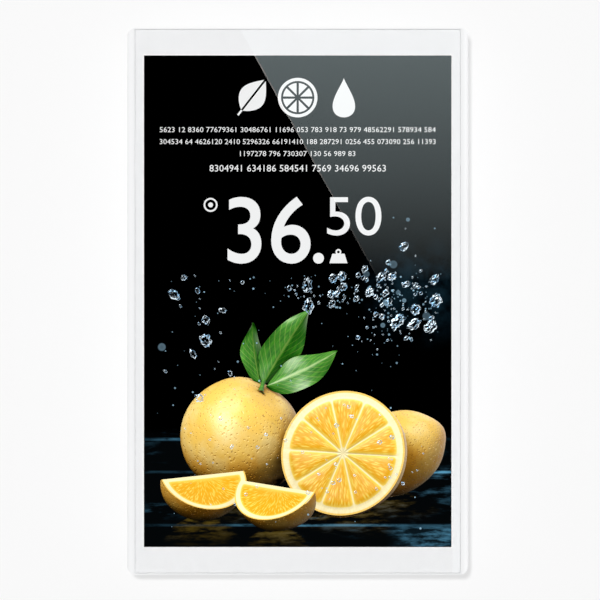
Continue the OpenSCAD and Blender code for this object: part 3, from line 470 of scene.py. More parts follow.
def wet_slate():
    """The picture's ground: black above, and a wet dark table below that mirrors what stands on it."""
    web, given, out = new_group("Wet slate", {"Glint": "colour", "Warm": "colour"}, {"Colour": "colour"})
    place = web.object_place()
    open_sky, mirror, table = web.parts(web.attribute("form_light"))
    flat = web.vector("MULTIPLY", place, (0.35, 0.0, 1.6))
    ripple = web.noise(flat, 190, 5, 0.62).outputs[0]
    streak = web.ramp(ripple, 0.5, 0.72)
    broad = web.ramp(web.noise(flat, 36, 3).outputs[0], 0.42, 0.68)
    from_haze = web.vector("LENGTH", web.vector("SUBTRACT", place, tuple(HAZE_MIDDLE)))
    haze = web.ramp(web.noise(place, 60, 5, 0.7).outputs[0], 0.38, 0.7)
    haze = web.math("MULTIPLY", haze, web.ramp(from_haze, *HAZE_FADE, 0.0, 0.55))
    glint = web.math("MULTIPLY", web.math("MULTIPLY", streak, broad), open_sky)
    side, _, height = web.parts(place)
    for line, width in BOARD_EDGES:
        away = web.math("ABSOLUTE", web.math("SUBTRACT", height, line))
        wet = web.math("MULTIPLY", web.ramp(away, width, 0.3 * width), web.ramp(ripple, 0.34, 0.55))
        wet = web.math("MULTIPLY", wet, web.ramp(broad, 0, 1, 0.25, 3.0))
        glint = web.math("MULTIPLY_ADD", wet, open_sky, glint)
    corner = web.math("MULTIPLY", web.ramp(height, *CORNER_TOP), web.ramp(side, *CORNER_LEFT))
    glint = web.math("MULTIPLY_ADD", corner, web.ramp(ripple, 0.42, 0.66, 0.05, 1.5), glint)
    water = web.mix(1, (0.0012, 0.002, 0.0025), web.scaled(given["Glint"], glint), "ADD")
    broken = web.math("MULTIPLY", mirror, web.ramp(ripple, 0.44, 0.64, 0.0, 0.1))
    water = web.mix(1, water, web.scaled(given["Warm"], broken), "ADD")
    colour = web.mix(table, web.scaled(given["Glint"], haze), water)
    web.feed(out["Colour"], web.group("Panel light", {"Colour": colour})["Colour"])
    return web.tree


EFFECTS = {
    "Moulded grain": moulded_grain,
    "Drawn metal": drawn_metal,
    "Board tracks": board_tracks,
    "Border ink and halo": border_ink_and_halo,
    "Panel light": panel_light,
    "Form light": form_light,
    "Fruit skin": fruit_skin,
    "Fruit flesh": fruit_flesh,
    "Leaf blade": leaf_blade,
    "Water bead": water_bead,
    "Soft disc": soft_disc,
    "Wet slate": wet_slate,
}


def effect(name):
    """The shader node group of that name, built once."""
    return bpy.data.node_groups.get(name) or EFFECTS[name]()


def new_material(name):
    """An empty node material, its web and its output node."""
    material = bpy.data.materials.new(name)
    material.use_nodes = True
    material.node_tree.nodes.clear()
    web = Web(material.node_tree)
    return material, web, web.node("ShaderNodeOutputMaterial")


class Finish(NamedTuple):
    """One material of the housing or the works, and the nodes of the frame that it covers."""

    nodes: tuple
    colour: tuple
    roughness: float
    metallic: float = 0.0
    effect: str = "Moulded grain"
    scale: float = 1800.0
    shift: float = 0.06
    height: float = 0.02
    coat: float = 0.0


def surface_material(name, finish):
    """A Principled material whose colour, gloss and height come from the finish's effect."""
    material, web, output = new_material(name)
    values = {"Colour": finish.colour, "Shift": finish.shift}
    values.update({"Roughness": finish.roughness, "Scale": finish.scale})
    grain = web.group(finish.effect, values)
    bump = web.node("ShaderNodeBump", {"Height": grain["Height"], "Strength": 0.35})
    bump.inputs["Distance"].default_value = finish.height * MM
    shader = web.node("ShaderNodeBsdfPrincipled", {"Base Color": grain["Colour"]})
    web.feed(shader.inputs["Roughness"], grain["Roughness"])
    web.feed(shader.inputs["Normal"], bump.outputs[0])
    shader.inputs["Metallic"].default_value = finish.metallic
    shader.inputs["Coat Weight"].default_value = finish.coat
    web.feed(output.inputs["Surface"], shader.outputs[0])
    return material


def cover(nodes, material):
    """Puts a material on nodes of the frame."""
    for name in nodes:
        mesh_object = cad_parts[name]
        if not mesh_object.material_slots:
            mesh_object.data.materials.append(material)
        for slot in mesh_object.material_slots:
            slot.material = material


def dress(finishes):
    """Makes each finish's material and puts it on its nodes."""
    for name, finish in finishes.items():
        cover(finish.nodes, surface_material(name, finish))


def housing_finishes():
    """The outside: white print, moulded white housing and keys."""
    colours = bpy.context.scene.display_housing
    return {
        "White print": Finish(("border_print",), tuple(colours.border), 0.5, effect="Border ink and halo", shift=0.02),
        "White housing": Finish(
            ("front_frame", "rear_cover"), tuple(colours.housing), 0.42, scale=2600, shift=0.03, height=0.05
        ),
        "Grey key": Finish(
            ("button_up", "button_power", "button_down"), tuple(colours.keys), 0.34, scale=1500, shift=0.1
        ),
    }


PANEL_FINISHES = {
    "Bonding tape": Finish(("bonding_tape", "key_tape"), (0.82, 0.825, 0.83), 0.7, scale=700, shift=0.1),
    "Gasket": Finish(
        ("panel_gasket", "foam_pads"), (0.02, 0.02, 0.021), 0.9, scale=900, shift=0.5, height=0.1
    ),
    "Polarizer": Finish(("polarizer_front", "polarizer_rear"), (0.012, 0.012, 0.014), 0.25, coat=0.3),
    "Cell glass": Finish(("colour_filter_glass", "transistor_glass"), (0.1, 0.12, 0.12), 0.08, coat=0.5),
    "Optical film": Finish(
        ("prism_films", "diffuser_film"), (0.78, 0.8, 0.82), 0.3, effect="Drawn metal", scale=3000, shift=0.1
    ),
    "Light guide": Finish(("light_guide",), (0.8, 0.86, 0.88), 0.12, scale=1200, shift=0.1, coat=0.4),
    "Reflector": Finish(("reflector_sheet",), (0.9, 0.91, 0.92), 0.25, scale=600, shift=0.04),
    "Flex": Finish(
        ("led_strip", "panel_flex", "key_flex"), (0.5, 0.27, 0.05), 0.4, effect="Board tracks",
        scale=900, shift=0.5,
    ),
    "Lamp package": Finish(("leds",), (0.92, 0.86, 0.5), 0.3, scale=4000, shift=0.15),
    "Panel frame": Finish(("panel_frame",), (0.78, 0.79, 0.78), 0.5, shift=0.08),
    "Panel tray": Finish(("panel_tray",), (0.62, 0.63, 0.64), 0.34, 1.0, "Drawn metal", 1600, 0.2),
}

CHASSIS_FINISHES = {
    "Chassis steel": Finish(("chassis_plate",), (0.56, 0.57, 0.58), 0.38, 1.0, "Drawn metal", 1200, 0.3),
    "Screw steel": Finish(
        ("chassis_screws", "board_screws", "speaker_screws", "cover_screws"),
        (0.5, 0.5, 0.51), 0.3, 1.0, "Drawn metal", 3600, 0.35,
    ),
    "Insert brass": Finish(("mount_inserts",), (0.72, 0.5, 0.2), 0.28, 1.0, "Drawn metal", 3600, 0.3),
    "Heat sink": Finish(("heat_sink",), (0.66, 0.67, 0.68), 0.42, 1.0, "Drawn metal", 2200, 0.25),
    "Thermal pad": Finish(("thermal_pad",), (0.36, 0.44, 0.55), 0.85, scale=800, shift=0.2),
    "Speaker": Finish(("speaker_left", "speaker_right"), (0.025, 0.025, 0.027), 0.6, scale=1200, shift=0.4),
}

BOARD_FINISHES = {
    "Board": Finish(
        ("main_board", "key_board"), (0.015, 0.09, 0.05), 0.35, effect="Board tracks",
        scale=420, shift=0.8, height=0.04, coat=0.3,
    ),
    "Chip": Finish(
        ("processor", "memory_chips", "driver_chips"), (0.02, 0.02, 0.022), 0.5, scale=3000, shift=0.3
    ),
    "Shield can": Finish(("shield_can",), (0.7, 0.7, 0.69), 0.3, 1.0, "Drawn metal", 1800, 0.25),
    "Board parts": Finish(("board_parts",), (0.33, 0.3, 0.26), 0.45, scale=2600, shift=0.4),
    "Ivory plastic": Finish(("panel_connector",), (0.8, 0.77, 0.68), 0.45, scale=2600, shift=0.08),
    "Coin cell": Finish(("coin_cell",), (0.75, 0.75, 0.74), 0.25, 1.0, "Drawn metal", 2400, 0.2),
    "Coin holder": Finish(("coin_holder",), (0.03, 0.03, 0.032), 0.5, shift=0.3),
}

SOCKET_FINISHES = {
    "Plated shell": Finish(
        ("hdmi_socket", "usb_a_socket", "usb_c_socket", "card_slot", "lan_socket"),
        (0.66, 0.66, 0.65), 0.26, 1.0, "Drawn metal", 2600, 0.25,
    ),
    "Socket black": Finish(("dc_jack",), (0.022, 0.022, 0.024), 0.4, scale=2600, shift=0.3),
    "Switch": Finish(("key_switches",), (0.5, 0.5, 0.5), 0.3, 1.0, "Drawn metal", 3600, 0.3),
    "Plunger": Finish(("plunger_up", "plunger_power", "plunger_down"), (0.03, 0.03, 0.03), 0.5, shift=0.3),
}


def glass_material():
    """Clear glass: its outer side mirrors what both faces of a pane of its index give together."""
    material, web, output = new_material("Cover glass")
    index = bpy.context.scene.display_housing.glass_index
    fresnel = web.node("ShaderNodeFresnel", {"IOR": index}).outputs[0]
    front = web.math("SUBTRACT", 1.0, web.node("ShaderNodeNewGeometry").outputs["Backfacing"])
    smear = web.ramp(web.noise(web.object_place(), 9, 4).outputs[0], 0.45, 0.75, 0.0, 0.004)
    mirror = web.node("ShaderNodeBsdfAnisotropic", {"Color": (1, 1, 1), "Roughness": smear})
    clear = web.node("ShaderNodeBsdfTransparent", {"Color": (1, 1, 1)})
    both = web.math("DIVIDE", web.math("MULTIPLY", fresnel, 2.0), web.math("ADD", fresnel, 1.0))
    blend = web.node("ShaderNodeMixShader", {0: web.math("MULTIPLY", both, front)})
    web.feed(blend.inputs[1], clear.outputs[0])
    web.feed(blend.inputs[2], mirror.outputs[0])
    web.feed(output.inputs["Surface"], blend.outputs[0])
    return material


def light_material(name):
    """A black surface that gives off the picture's light, its web and its shader."""
    material, web, output = new_material(name)
    shader = web.node("ShaderNodeBsdfPrincipled", {"Base Color": (0, 0, 0), "Roughness": 1.0})
    shader.inputs["Specular IOR Level"].default_value = 0
    shader.inputs["Emission Strength"].default_value = bpy.context.scene.display_picture.brightness
    web.feed(output.inputs["Surface"], shader.outputs[0])
    return material, web, shader


def letter_material():
    """Plain white light for signs, figures and numerals."""
    material, web, shader = light_material("Picture lettering")
    colour = tuple(bpy.context.scene.display_picture.letter)
    web.feed(shader.inputs["Emission Color"], web.group("Panel light", {"Colour": colour})["Colour"])
    return material


def lit_form(name, surface, gloss, polish, glow):
    """A pictured form's material: the named effect's colour and normal under the form light."""
    material, web, shader = light_material(name)
    look = web.group(surface[0], {**surface[1], "Place": web.attribute("form_place")})
    values = {"Colour": look["Colour"], "Normal": look["Normal"]}
    values.update({"Gloss": gloss, "Polish": polish, "Glow": glow})
    web.feed(shader.inputs["Emission Color"], web.group("Form light", values)["Colour"])
    return material


def skin_material():
    """Citrus skin under the picture's key light."""
    colours = bpy.context.scene.display_picture
    values = {"Colour": tuple(colours.skin), "Blush": tuple(colours.blush)}
    return lit_form("Picture skin", ("Fruit skin", values), 0.42, 34.0, 0.4)


def flesh_material():
    """Cut citrus under the picture's key light."""
    colours = bpy.context.scene.display_picture
    values = {"Colour": tuple(colours.flesh), "Pith": tuple(colours.pith), "Skin": tuple(colours.skin)}
    return lit_form("Picture flesh", ("Fruit flesh", values), 0.2, 60.0, 0.3)


def leaf_material():
    """Glossy leaves under the picture's key light."""
    values = {"Colour": tuple(bpy.context.scene.display_picture.leaf)}
    return lit_form("Picture leaf", ("Leaf blade", values), 0.4, 36.0, 0.35)


def alpha_material(name, effect_name):
    """A pictured clear thing, whose effect gives its light and how much it covers."""
    material, web, shader = light_material(name)
    look = web.group(effect_name, {"Colour": tuple(bpy.context.scene.display_picture.water)})
    web.feed(shader.inputs["Emission Color"], look["Colour"])
    web.feed(shader.inputs["Alpha"], look["Alpha"])
    return material


def ground_material():
    """The black air and the wet table."""
    material, web, shader = light_material("Picture ground")
    colours = bpy.context.scene.display_picture
    values = {"Glint": tuple(colours.slate), "Warm": tuple(colours.flesh)}
    web.feed(shader.inputs["Emission Color"], web.group("Wet slate", values)["Colour"])
    return material


class Form:
    """A pictured thing as grids of points, each with its own place on the thing."""

    def __init__(self):
        self.points = []
        self.places = []
        self.faces = []
        self.kinds = []

    def grid(self, surface, rows, columns, matrix, outward, kind=0):
        """Adds surface(s, t), with s and t from 0 to 1, which returns a place and its point.

        outward gives a direction out of the thing at a place, by which the faces are turned."""
        start = len(self.points)
        for i in range(rows + 1):
            for j in range(columns + 1):
                place, point = surface(i / rows, j / columns)
                self.places.append(Vector(place))
                self.points.append(matrix @ Vector(point))
        width = columns + 1
        cells = [
            [start + i * width + j + k for k in (0, width, width + 1, 1)]
            for i in range(rows)
            for j in range(columns)
        ]
        middle = cells[len(cells) // 2 + columns // 2]
        a, b, c, _ = (self.points[n] for n in middle)
        away = matrix.to_3x3() @ outward(self.places[middle[0]])
        if (b - a).cross(c - a).dot(away) < 0:
            cells = [cell[::-1] for cell in cells]
        self.faces.extend(cells)
        self.kinds.extend([kind] * len(cells))


def ball(theta, phi, radius=1.0):
    """A point at that angle from the axis and that turn about it."""
    across = math.sin(theta)
    return Vector((across * math.cos(phi), across * math.sin(phi), math.cos(theta))) * radius


def skin_point(theta, phi, stretch, dimple):
    """A fruit's skin: a ball, drawn out along its axis, uneven, with a dimple at the stalk."""
    place = ball(theta, phi)
    uneven = 1 + 0.03 * noise.noise(place * 1.4 + Vector((stretch, 0, 3)))
    point = place * uneven
    tip = math.exp(-((theta / 0.34) ** 2)) * dimple
    nose = math.exp(-(((math.pi - theta) / 0.3) ** 2)) * max(stretch - 1, 0) * 0.55
    point.z = point.z * stretch - tip - nose
    return place, point


def fruit_place(x, y, z, radius, turn):
    """The matrix from a fruit's own space to the picture, with its turn in degrees about X, Y and Z."""
    x_turn, y_turn, z_turn = (math.radians(a) for a in turn)
    turned = Matrix.Rotation(z_turn, 4, "Z") @ Matrix.Rotation(y_turn, 4, "Y")
    turned = turned @ Matrix.Rotation(x_turn, 4, "X")
    return TO_PICTURE @ Matrix.Translation((x, y, z)) @ turned @ Matrix.Scale(radius, 4)


def add_skin(form, matrix, stretch, dimple, thetas=(0, math.pi), phis=(0, math.tau), size=(48, 72)):
    """A patch of skin between two angles from the axis and two turns about it."""

    def surface(s, t):
        theta = thetas[0] + s * (thetas[1] - thetas[0])
        return skin_point(theta, phis[0] + t * (phis[1] - phis[0]), stretch, dimple)

    form.grid(surface, *size, matrix, lambda place: place)


def add_round_cut(form, matrix):
    """The cut across the middle of a fruit, with its juice cells a little proud of their walls."""

    def surface(s, t):
        phi = t * math.tau
        place = ball(math.pi / 2, phi, s)
        share = abs((phi * SEGMENTS / math.tau + 0.5) % 1 - 0.5)
        wall = share * math.tau / SEGMENTS * s
        proud = 0.03 * (1 - math.exp(-min(wall, max(0.88 - s, 0)) / 0.05))
        return place, place + Vector((0, 0, proud))

    form.grid(surface, 26, 160, matrix, lambda place: UP, 1)


def add_long_cut(form, matrix, phi, side):
    """The cut along a fruit's axis, at that turn about it."""

    def surface(s, t):
        place = ball(t * math.pi, phi, s)
        sag = -0.05 * math.sin(math.pi * min(s, 1)) * math.sin(t * math.pi)
        across = Vector((-math.sin(phi), math.cos(phi), 0)) * side
        return place, place + across * sag

    form.grid(surface, 16, 40, matrix, lambda place: Vector((-math.sin(phi), math.cos(phi), 0)) * side, 1)


# Where the fruit stand: across, towards the back, and turn about X, Y and Z in degrees
ROUND_FRUIT = (-25 * MM, 24 * MM, (28, 24, 20))
LONG_FRUIT = (43 * MM, 26 * MM, (0, 68, 24))
HALF_FRUIT = (20 * MM, -6 * MM, (66, 0, -14))
WEDGES = (
    (-42 * MM, -22 * MM, (-8, 90, 16)),
    (-9 * MM, -42 * MM, (14, 90, -20)),
)
# Length of a whole fruit along its axis to its width, and depth of its dimple
ROUND_SHAPE = (0.95, 0.07)
LONG_SHAPE = (1.32, -0.06)
LONG_FRUIT_SHARE = 0.66


def whole_fruit():
    """Two whole fruit, a round one and a longer one behind the half."""
    radius = bpy.context.scene.display_picture.fruit_radius
    form = Form()
    x, y, turn = ROUND_FRUIT
    add_skin(form, fruit_place(x, y, 0.95 * radius, radius, turn), *ROUND_SHAPE)
    x, y, turn = LONG_FRUIT
    slim = LONG_FRUIT_SHARE * radius
    add_skin(form, fruit_place(x, y, slim, slim, turn), *LONG_SHAPE)
    return form


def half_fruit():
    """The halved fruit, its cut side to the front."""
    radius = bpy.context.scene.display_picture.half_radius
    form = Form()
    x, y, turn = HALF_FRUIT
    matrix = fruit_place(x, y, 0.93 * radius, radius, turn)
    add_round_cut(form, matrix)
    add_skin(form, matrix, 1.0, 0.0, (math.pi / 2, math.pi), size=(24, 96))
    return form


def wedges():
    """Cut wedges that lie on their skin in front."""
    radius = bpy.context.scene.display_picture.wedge_radius
    low, high = (math.pi / SEGMENTS * k for k in (-3, 1))
    form = Form()
    for x, y, turn in WEDGES:
        matrix = fruit_place(x, y, radius, radius, turn)
        add_skin(form, matrix, 1.0, 0.0, phis=(low, high), size=(40, 16))
        add_long_cut(form, matrix, low, -1)
        add_long_cut(form, matrix, high, 1)
    return form


LEAVES = (
    # stalk in the picture, length, half width, direction and roll in degrees
    ((-15 * MM, 12 * MM, -36.5 * MM), 38 * MM, 8.5 * MM, 62, 18),
    ((-14 * MM, 10 * MM, -37.5 * MM), 35 * MM, 8 * MM, 21, -24),
    ((-16.5 * MM, 13 * MM, -36.5 * MM), 27 * MM, 6 * MM, 104, 30),
)
STALK_FOOT = Vector((-16.5, 6, -40.5)) * MM
STALK_TOP = Vector((-15, 11, -35)) * MM


def leaves():
    """Leaves on the round fruit's stalk."""
    form = Form()
    for number, (stalk, length, half_width, direction, roll) in enumerate(LEAVES):
        angle, lean = math.radians(direction), math.radians(roll)

        def surface(s, t, seed=number, length=length, half_width=half_width):
            side = 2 * t - 1
            wide = half_width * math.sin(math.pi * s ** 0.85) ** 0.9 if 0 < s < 1 else 0.0
            rise = abs(side) * wide * 0.35 - length * 0.22 * s * s
            wave = 0.05 * length * math.sin(9 * s + seed) * side * side
            return (s, side, seed), (s * length, rise + wave, side * wide)

        matrix = Matrix.Translation(stalk) @ Matrix.Rotation(-angle, 4, "Y") @ Matrix.Rotation(lean, 4, "X")
        form.grid(surface, 28, 12, matrix, lambda place: VIEWER)
    add_stalk(form)
    return form


def add_stalk(form):
    """The stalk between the round fruit and its leaves, on a small star of sepals."""
    run = STALK_TOP - STALK_FOOT
    matrix = Matrix.Translation(STALK_FOOT) @ run.to_track_quat("Z", "Y").to_matrix().to_4x4()

    def rod(s, t):
        flare = 0.9 + 0.9 * (1 - s) ** 4
        across = ball(math.pi / 2, t * math.tau)
        return (s, 0.5, 9), across * flare * MM + UP * (s * run.length)

    def star(s, t):
        reach = (1.9 + 1.5 * math.cos(5 * t * math.tau)) * MM
        return (s, 0.4, 9), ball(math.pi / 2, t * math.tau) * reach * s + UP * (0.9 - 0.9 * s * s) * MM

    form.grid(rod, 8, 16, matrix, lambda place: VIEWER)
    form.grid(star, 5, 60, matrix, lambda place: UP)


@functools.cache
def still_life():
    """Every solid thing in the picture."""
    return {"fruit": whole_fruit(), "half": half_fruit(), "wedges": wedges(), "leaves": leaves()}


def square(half):
    """The corners of a square about the middle."""
    return [(-half, -half), (half, -half), (half, half), (-half, half)]


TABLE_HALF = 400 * MM


@functools.cache
def still_life_tree():
    """The still life and its table, for finding what shades what."""
    points, faces = [], []
    for form in still_life().values():
        faces += [[n + len(points) for n in face] for face in form.faces]
        points += form.points
    table = [TO_PICTURE @ Vector((x, y, 0)) for x, y in square(TABLE_HALF)]
    faces.append([len(points) + k for k in range(4)])
    return BVHTree.FromPolygons(points + table, faces)


def spread_rays(count):
    """Directions spread evenly over a sphere."""
    golden = math.pi * (3 - math.sqrt(5))
    rays = []
    for k in range(count):
        z = 1 - 2 * (k + 0.5) / count
        across = math.sqrt(1 - z * z)
        rays.append(Vector((across * math.cos(golden * k), across * math.sin(golden * k), z)))
    return rays


SKY_RAYS = spread_rays(56)
KEY_SOFTNESS = 0.13
KEY_RAYS = [(KEY_DIRECTION + ray * KEY_SOFTNESS).normalized() for ray in spread_rays(7)]
GRAZING = 0.05
SKY_REACH = 70 * MM
MIRROR_REACH = 44 * MM
LIFT = 0.5 * MM


def openness(point, normal):
    """How much of the sky and of the key lamp a point of the still life sees, from 0 to 1."""
    tree = still_life_tree()
    start = point + normal * LIFT
    sky = [ray for ray in SKY_RAYS if ray.dot(normal) > GRAZING]
    free = sum(tree.ray_cast(start, ray, SKY_REACH)[0] is None for ray in sky)
    lit = sum(tree.ray_cast(start, ray)[0] is None for ray in KEY_RAYS)
    return free / max(len(sky), 1), lit / len(KEY_RAYS)


def store(mesh, name, vectors):
    """Keeps one vector for each point of the mesh."""
    data = mesh.attributes.new(name, "FLOAT_VECTOR", "POINT").data
    data.foreach_set("vector", [c for v in vectors for c in v])


def press(point):
    """The point of the panel's gap where a point of the still life is drawn."""
    return Vector((point.x, SCENE_MID_Y + point.y * PRESS, point.z))


def place_piece(name, mesh, materials):
    """Links a piece of the picture with the given materials, which rides on the housing."""
    piece = bpy.data.objects.new(name, mesh)
    bpy.context.scene.collection.objects.link(piece)
    for material in materials:
        mesh.materials.append(material)
    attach(piece, "root")
    return piece


def draw_form(name, form, materials, shaded=True):
    """Draws a form as a low relief: its front faces, with normals and light kept from the full form."""
    full = bpy.data.meshes.new("form")
    full.from_pydata(form.points, [], form.faces)
    normals = [v.normal.copy() for v in full.vertices]
    shown = [n for n, face in enumerate(full.polygons) if face.normal.y < 0]
    used = sorted({v for n in shown for v in form.faces[n]})
    number = {v: k for k, v in enumerate(used)}
    mesh = bpy.data.meshes.new(name)
    faces = [[number[v] for v in form.faces[n]] for n in shown]
    mesh.from_pydata([press(form.points[v]) for v in used], [], faces)
    mesh.polygons.foreach_set("material_index", [form.kinds[n] for n in shown])
    store(mesh, "form_normal", [normals[v] for v in used])
    store(mesh, "form_place", [form.places[v] for v in used])
    if shaded:
        store(mesh, "form_light", [(*openness(form.points[v], normals[v]), 0) for v in used])
    bpy.data.meshes.remove(full)
    mesh.shade_smooth()
    return place_piece(name, mesh, materials)


# The table in the picture: its height above the front line, and where it ends and how it fades there
TABLE_RISE = 38 * MM
TABLE_END = 115 * MM
TABLE_FADE = 30 * MM
# Ripples that shake the mirror image: how many across and up, and how far they throw it
RIPPLES_ACROSS, RIPPLES_UP, RIPPLE_SWAY = 90, 700, 0.16
RIPPLE_SEED = 3


def draw_ground():
    """The picture's ground over the whole panel, with the table's shade and mirror image stored in it."""
    columns, upper_rows, lower_rows = 136, 16, 110
    table_top = TABLE_LINE + TABLE_RISE
    up = (TO_PICTURE.to_3x3() @ UP).normalized()
    sight = -VIEWER
    glance = sight - 2 * sight.dot(up) * up
    tree = still_life_tree()
    noise.seed_set(RIPPLE_SEED)
    points, light = [], []
    heights = [-PICTURE_HALF_H + (table_top + PICTURE_HALF_H) * i / lower_rows for i in range(lower_rows)]
    heights += [table_top + (PICTURE_HALF_H - table_top) * i / upper_rows for i in range(upper_rows + 1)]
    for z in heights:
        for j in range(columns + 1):
            x = PICTURE_HALF_W * (2 * j / columns - 1)
            points.append((x, GROUND_Y, z))
            back = (z - TABLE_LINE) / math.sin(TABLE_TILT)
            near = 1 - min(max((back - TABLE_END) / TABLE_FADE, 0), 1)
            if near == 0:
                light.append((1, 0, 0))
                continue
            spot = TO_PICTURE @ Vector((x, back, 0))
            sway = noise.noise_vector(Vector((x * RIPPLES_ACROSS, 0, z * RIPPLES_UP))) * RIPPLE_SWAY
            hit = tree.ray_cast(spot + up * LIFT, glance + sway, MIRROR_REACH)
            mirror = 0.0 if hit[0] is None else (1 - hit[3] / MIRROR_REACH) ** 2
            light.append((openness(spot, up)[0], mirror, near))
    width = columns + 1
    faces = [
        [i * width + j + k for k in (0, 1, width + 1, width)]
        for i in range(len(heights) - 1)
        for j in range(columns)
    ]
    mesh = bpy.data.meshes.new("picture_ground")
    mesh.from_pydata(points, [], faces)
    store(mesh, "form_light", light)
    return place_piece("picture_ground", mesh, [ground_material()])


def add_drop(form, centre, radius, stretch, direction, seed):
    """A drop, drawn out along its flight and wobbly where it is large."""
    matrix = Matrix.Translation(centre) @ direction.to_track_quat("Z", "Y").to_matrix().to_4x4()
    large = min(radius / (2 * MM), 1)

    def surface(s, t):
        place = ball(s * math.pi, t * math.tau)
        wobble = 1 + (0.2 + 0.5 * large) * noise.noise(place * (1.2 + large) + Vector((seed, 0, 0)))
        point = place * radius * wobble
        point.z *= stretch
        return place + Vector((seed, 0, 0)), point

    size = (18, 28) if large > 0.5 else (10, 14)
    form.grid(surface, *size, matrix, lambda place: place - Vector((seed, 0, 0)))


SPLASHES = (
    # share of the drops so far, middle and spread across and up, in millimetres
    (0.6, (42, 0), (11, 13)),
    (0.86, (16, 3), (15, 6)),
    (1.0, (-44, -14), (11, 17)),
)
KEPT_CLEAR = (
    # left, right, low and high, in millimetres: the leaves, the numerals and the rows above them
    (-27, 20, -42, -3),
    (-44, 27, 13, math.inf),
    (-math.inf, 40, 19, math.inf),
)
AIR_SIDE, AIR_LOW = 64, -52
DROP_ROOM = 1.15
TRIES = 400


def in_the_air(chance, radius=0.0, taken=()):
    """A spot for a drop, clear of the numerals, the leaves and the other drops."""
    for _ in range(TRIES):
        share = chance.random()
        _, middle, spread = next(row for row in SPLASHES if share <= row[0])
        x, z = (chance.gauss(m, d) for m, d in zip(middle, spread))
        hides = any(left < x < right and low < z < high for left, right, low, high in KEPT_CLEAR)
        if abs(x) > AIR_SIDE or z < AIR_LOW or hides:
            continue
        spot = Vector((x, 0, z)) * MM
        if all((spot - other).length > DROP_ROOM * (radius + size) for other, size in taken):
            break
    return spot


# Radius of the smallest drop and what the largest adds to it, in millimetres, and how fast they get small
DROP_SMALL, DROP_SPAN, DROP_FALL = 0.3, 2.1, 3.4
BEADS = 70


def splash():
    """Drops thrown up over the fruit, and beads that sit on the skins."""
    chance = random.Random(21)
    form = Form()
    taken = []
    count = bpy.context.scene.display_picture.drops
    for number in range(count):
        radius = (DROP_SMALL + DROP_SPAN * (1 - number / count) ** DROP_FALL * chance.uniform(0.7, 1)) * MM
        spot = in_the_air(chance, radius, taken)
        taken.append((spot, radius))
        direction = Vector((spot.x * 20, 0, 1 + chance.gauss(0, 0.5))).normalized()
        add_drop(form, spot + VIEWER * 0.05, radius, 1 + chance.random() * 0.7, direction, number * 7.3)
    tree = still_life_tree()
    for number in range(BEADS):
        x, z = chance.uniform(-58, 58) * MM, chance.uniform(-92, -34) * MM
        radius = (0.35 + 0.75 * chance.random() ** 2) * MM
        hit = tree.ray_cast(Vector((x, -200 * MM, z)), -VIEWER)
        if hit[0] is not None and abs(hit[1].z) < 0.9:
            add_drop(form, hit[0] + VIEWER * radius, radius, 0.85, UP, number * 3.1)
    return form


SPRAY_SPOTS = 230
BLURRED_SPOTS = 9


def mist():
    """Fine spray and unfocused lights, as flat discs with their strength as the third place."""
    chance = random.Random(5)
    form = Form()
    for number in range(SPRAY_SPOTS):
        small = number >= BLURRED_SPOTS
        radius = (0.15 + 0.4 * chance.random() ** 2) * MM if small else (0.8 + 1.3 * chance.random()) * MM
        strength = 0.4 + 0.6 * chance.random() if small else 0.15 + 0.3 * chance.random()
        x, _, z = in_the_air(chance)
        if small and number % 3 == 0:
            x, z = chance.uniform(-62, 62) * MM, chance.uniform(-104, 12) * MM
        depth = -(60 + 0.1 * number) * MM

        def surface(s, t, x=x, z=z, radius=radius, strength=strength, depth=depth):
            across, up = s * math.cos(t * math.tau), s * math.sin(t * math.tau)
            return (across, up, strength), (x + across * radius, depth, z + up * radius)

        form.grid(surface, 3 if small else 6, 12 if small else 32, Matrix(), lambda place: VIEWER)
    return form


def arc_points(centre, radius, start, end, count):
    """Points along an arc in the picture, with its angles in turns."""
    x, z = centre
    angles = [math.tau * (start + (end - start) * k / count) for k in range(count + 1)]
    return [(x + radius * math.cos(a), z + radius * math.sin(a)) for a in angles]


def flat_mesh(name, outlines):
    """Filled outlines on the front of the picture."""
    points = [(x, LETTER_Y, z) for outline in outlines for x, z in outline]
    faces, start = [], 0
    for outline in outlines:
        faces.append(list(range(start, start + len(outline))))
        start += len(outline)
    mesh = bpy.data.meshes.new(name)
    mesh.from_pydata(points, [], faces)
    return mesh


SIGN_Z = 90 * MM
SIGN_PITCH = 20.4 * MM
FIGURE_ROWS = (
    # foot above the middle, width, height of the figures, count
    (74.7 * MM, 122 * MM, 2.3 * MM, 76),
    (69.4 * MM, 122 * MM, 2.3 * MM, 76),
    (64.1 * MM, 51 * MM, 2.3 * MM, 32),
    (57.3 * MM, 78 * MM, 3.0 * MM, 38),
)


def ring_outlines(centre, outer, inner, count=48):
    """A flat ring in short pieces."""
    rim = arc_points(centre, outer, 0, 1, count)
    hole = arc_points(centre, inner, 0, 1, count)
    return [[rim[k], rim[k + 1], hole[k + 1], hole[k]] for k in range(count)]


# The slice sign: inside of its rind, reach of its segments from and to the middle, and half a segment
SLICE_RIND, SLICE_TIP, SLICE_REACH = 0.84, 0.14, 0.74
SLICE_PARTS = 8
SLICE_HALF_TURN = 0.05


def slice_outlines(centre, radius):
    """A cut slice: its rind and its segments."""
    outlines = ring_outlines(centre, radius, SLICE_RIND * radius)
    for k in range(SLICE_PARTS):
        middle = (k + 0.5) / SLICE_PARTS
        tip = arc_points(centre, SLICE_TIP * radius, middle, middle, 1)[:1]
        start, end = middle - SLICE_HALF_TURN, middle + SLICE_HALF_TURN
        outlines.append(tip + arc_points(centre, SLICE_REACH * radius, start, end, 8))
    return outlines


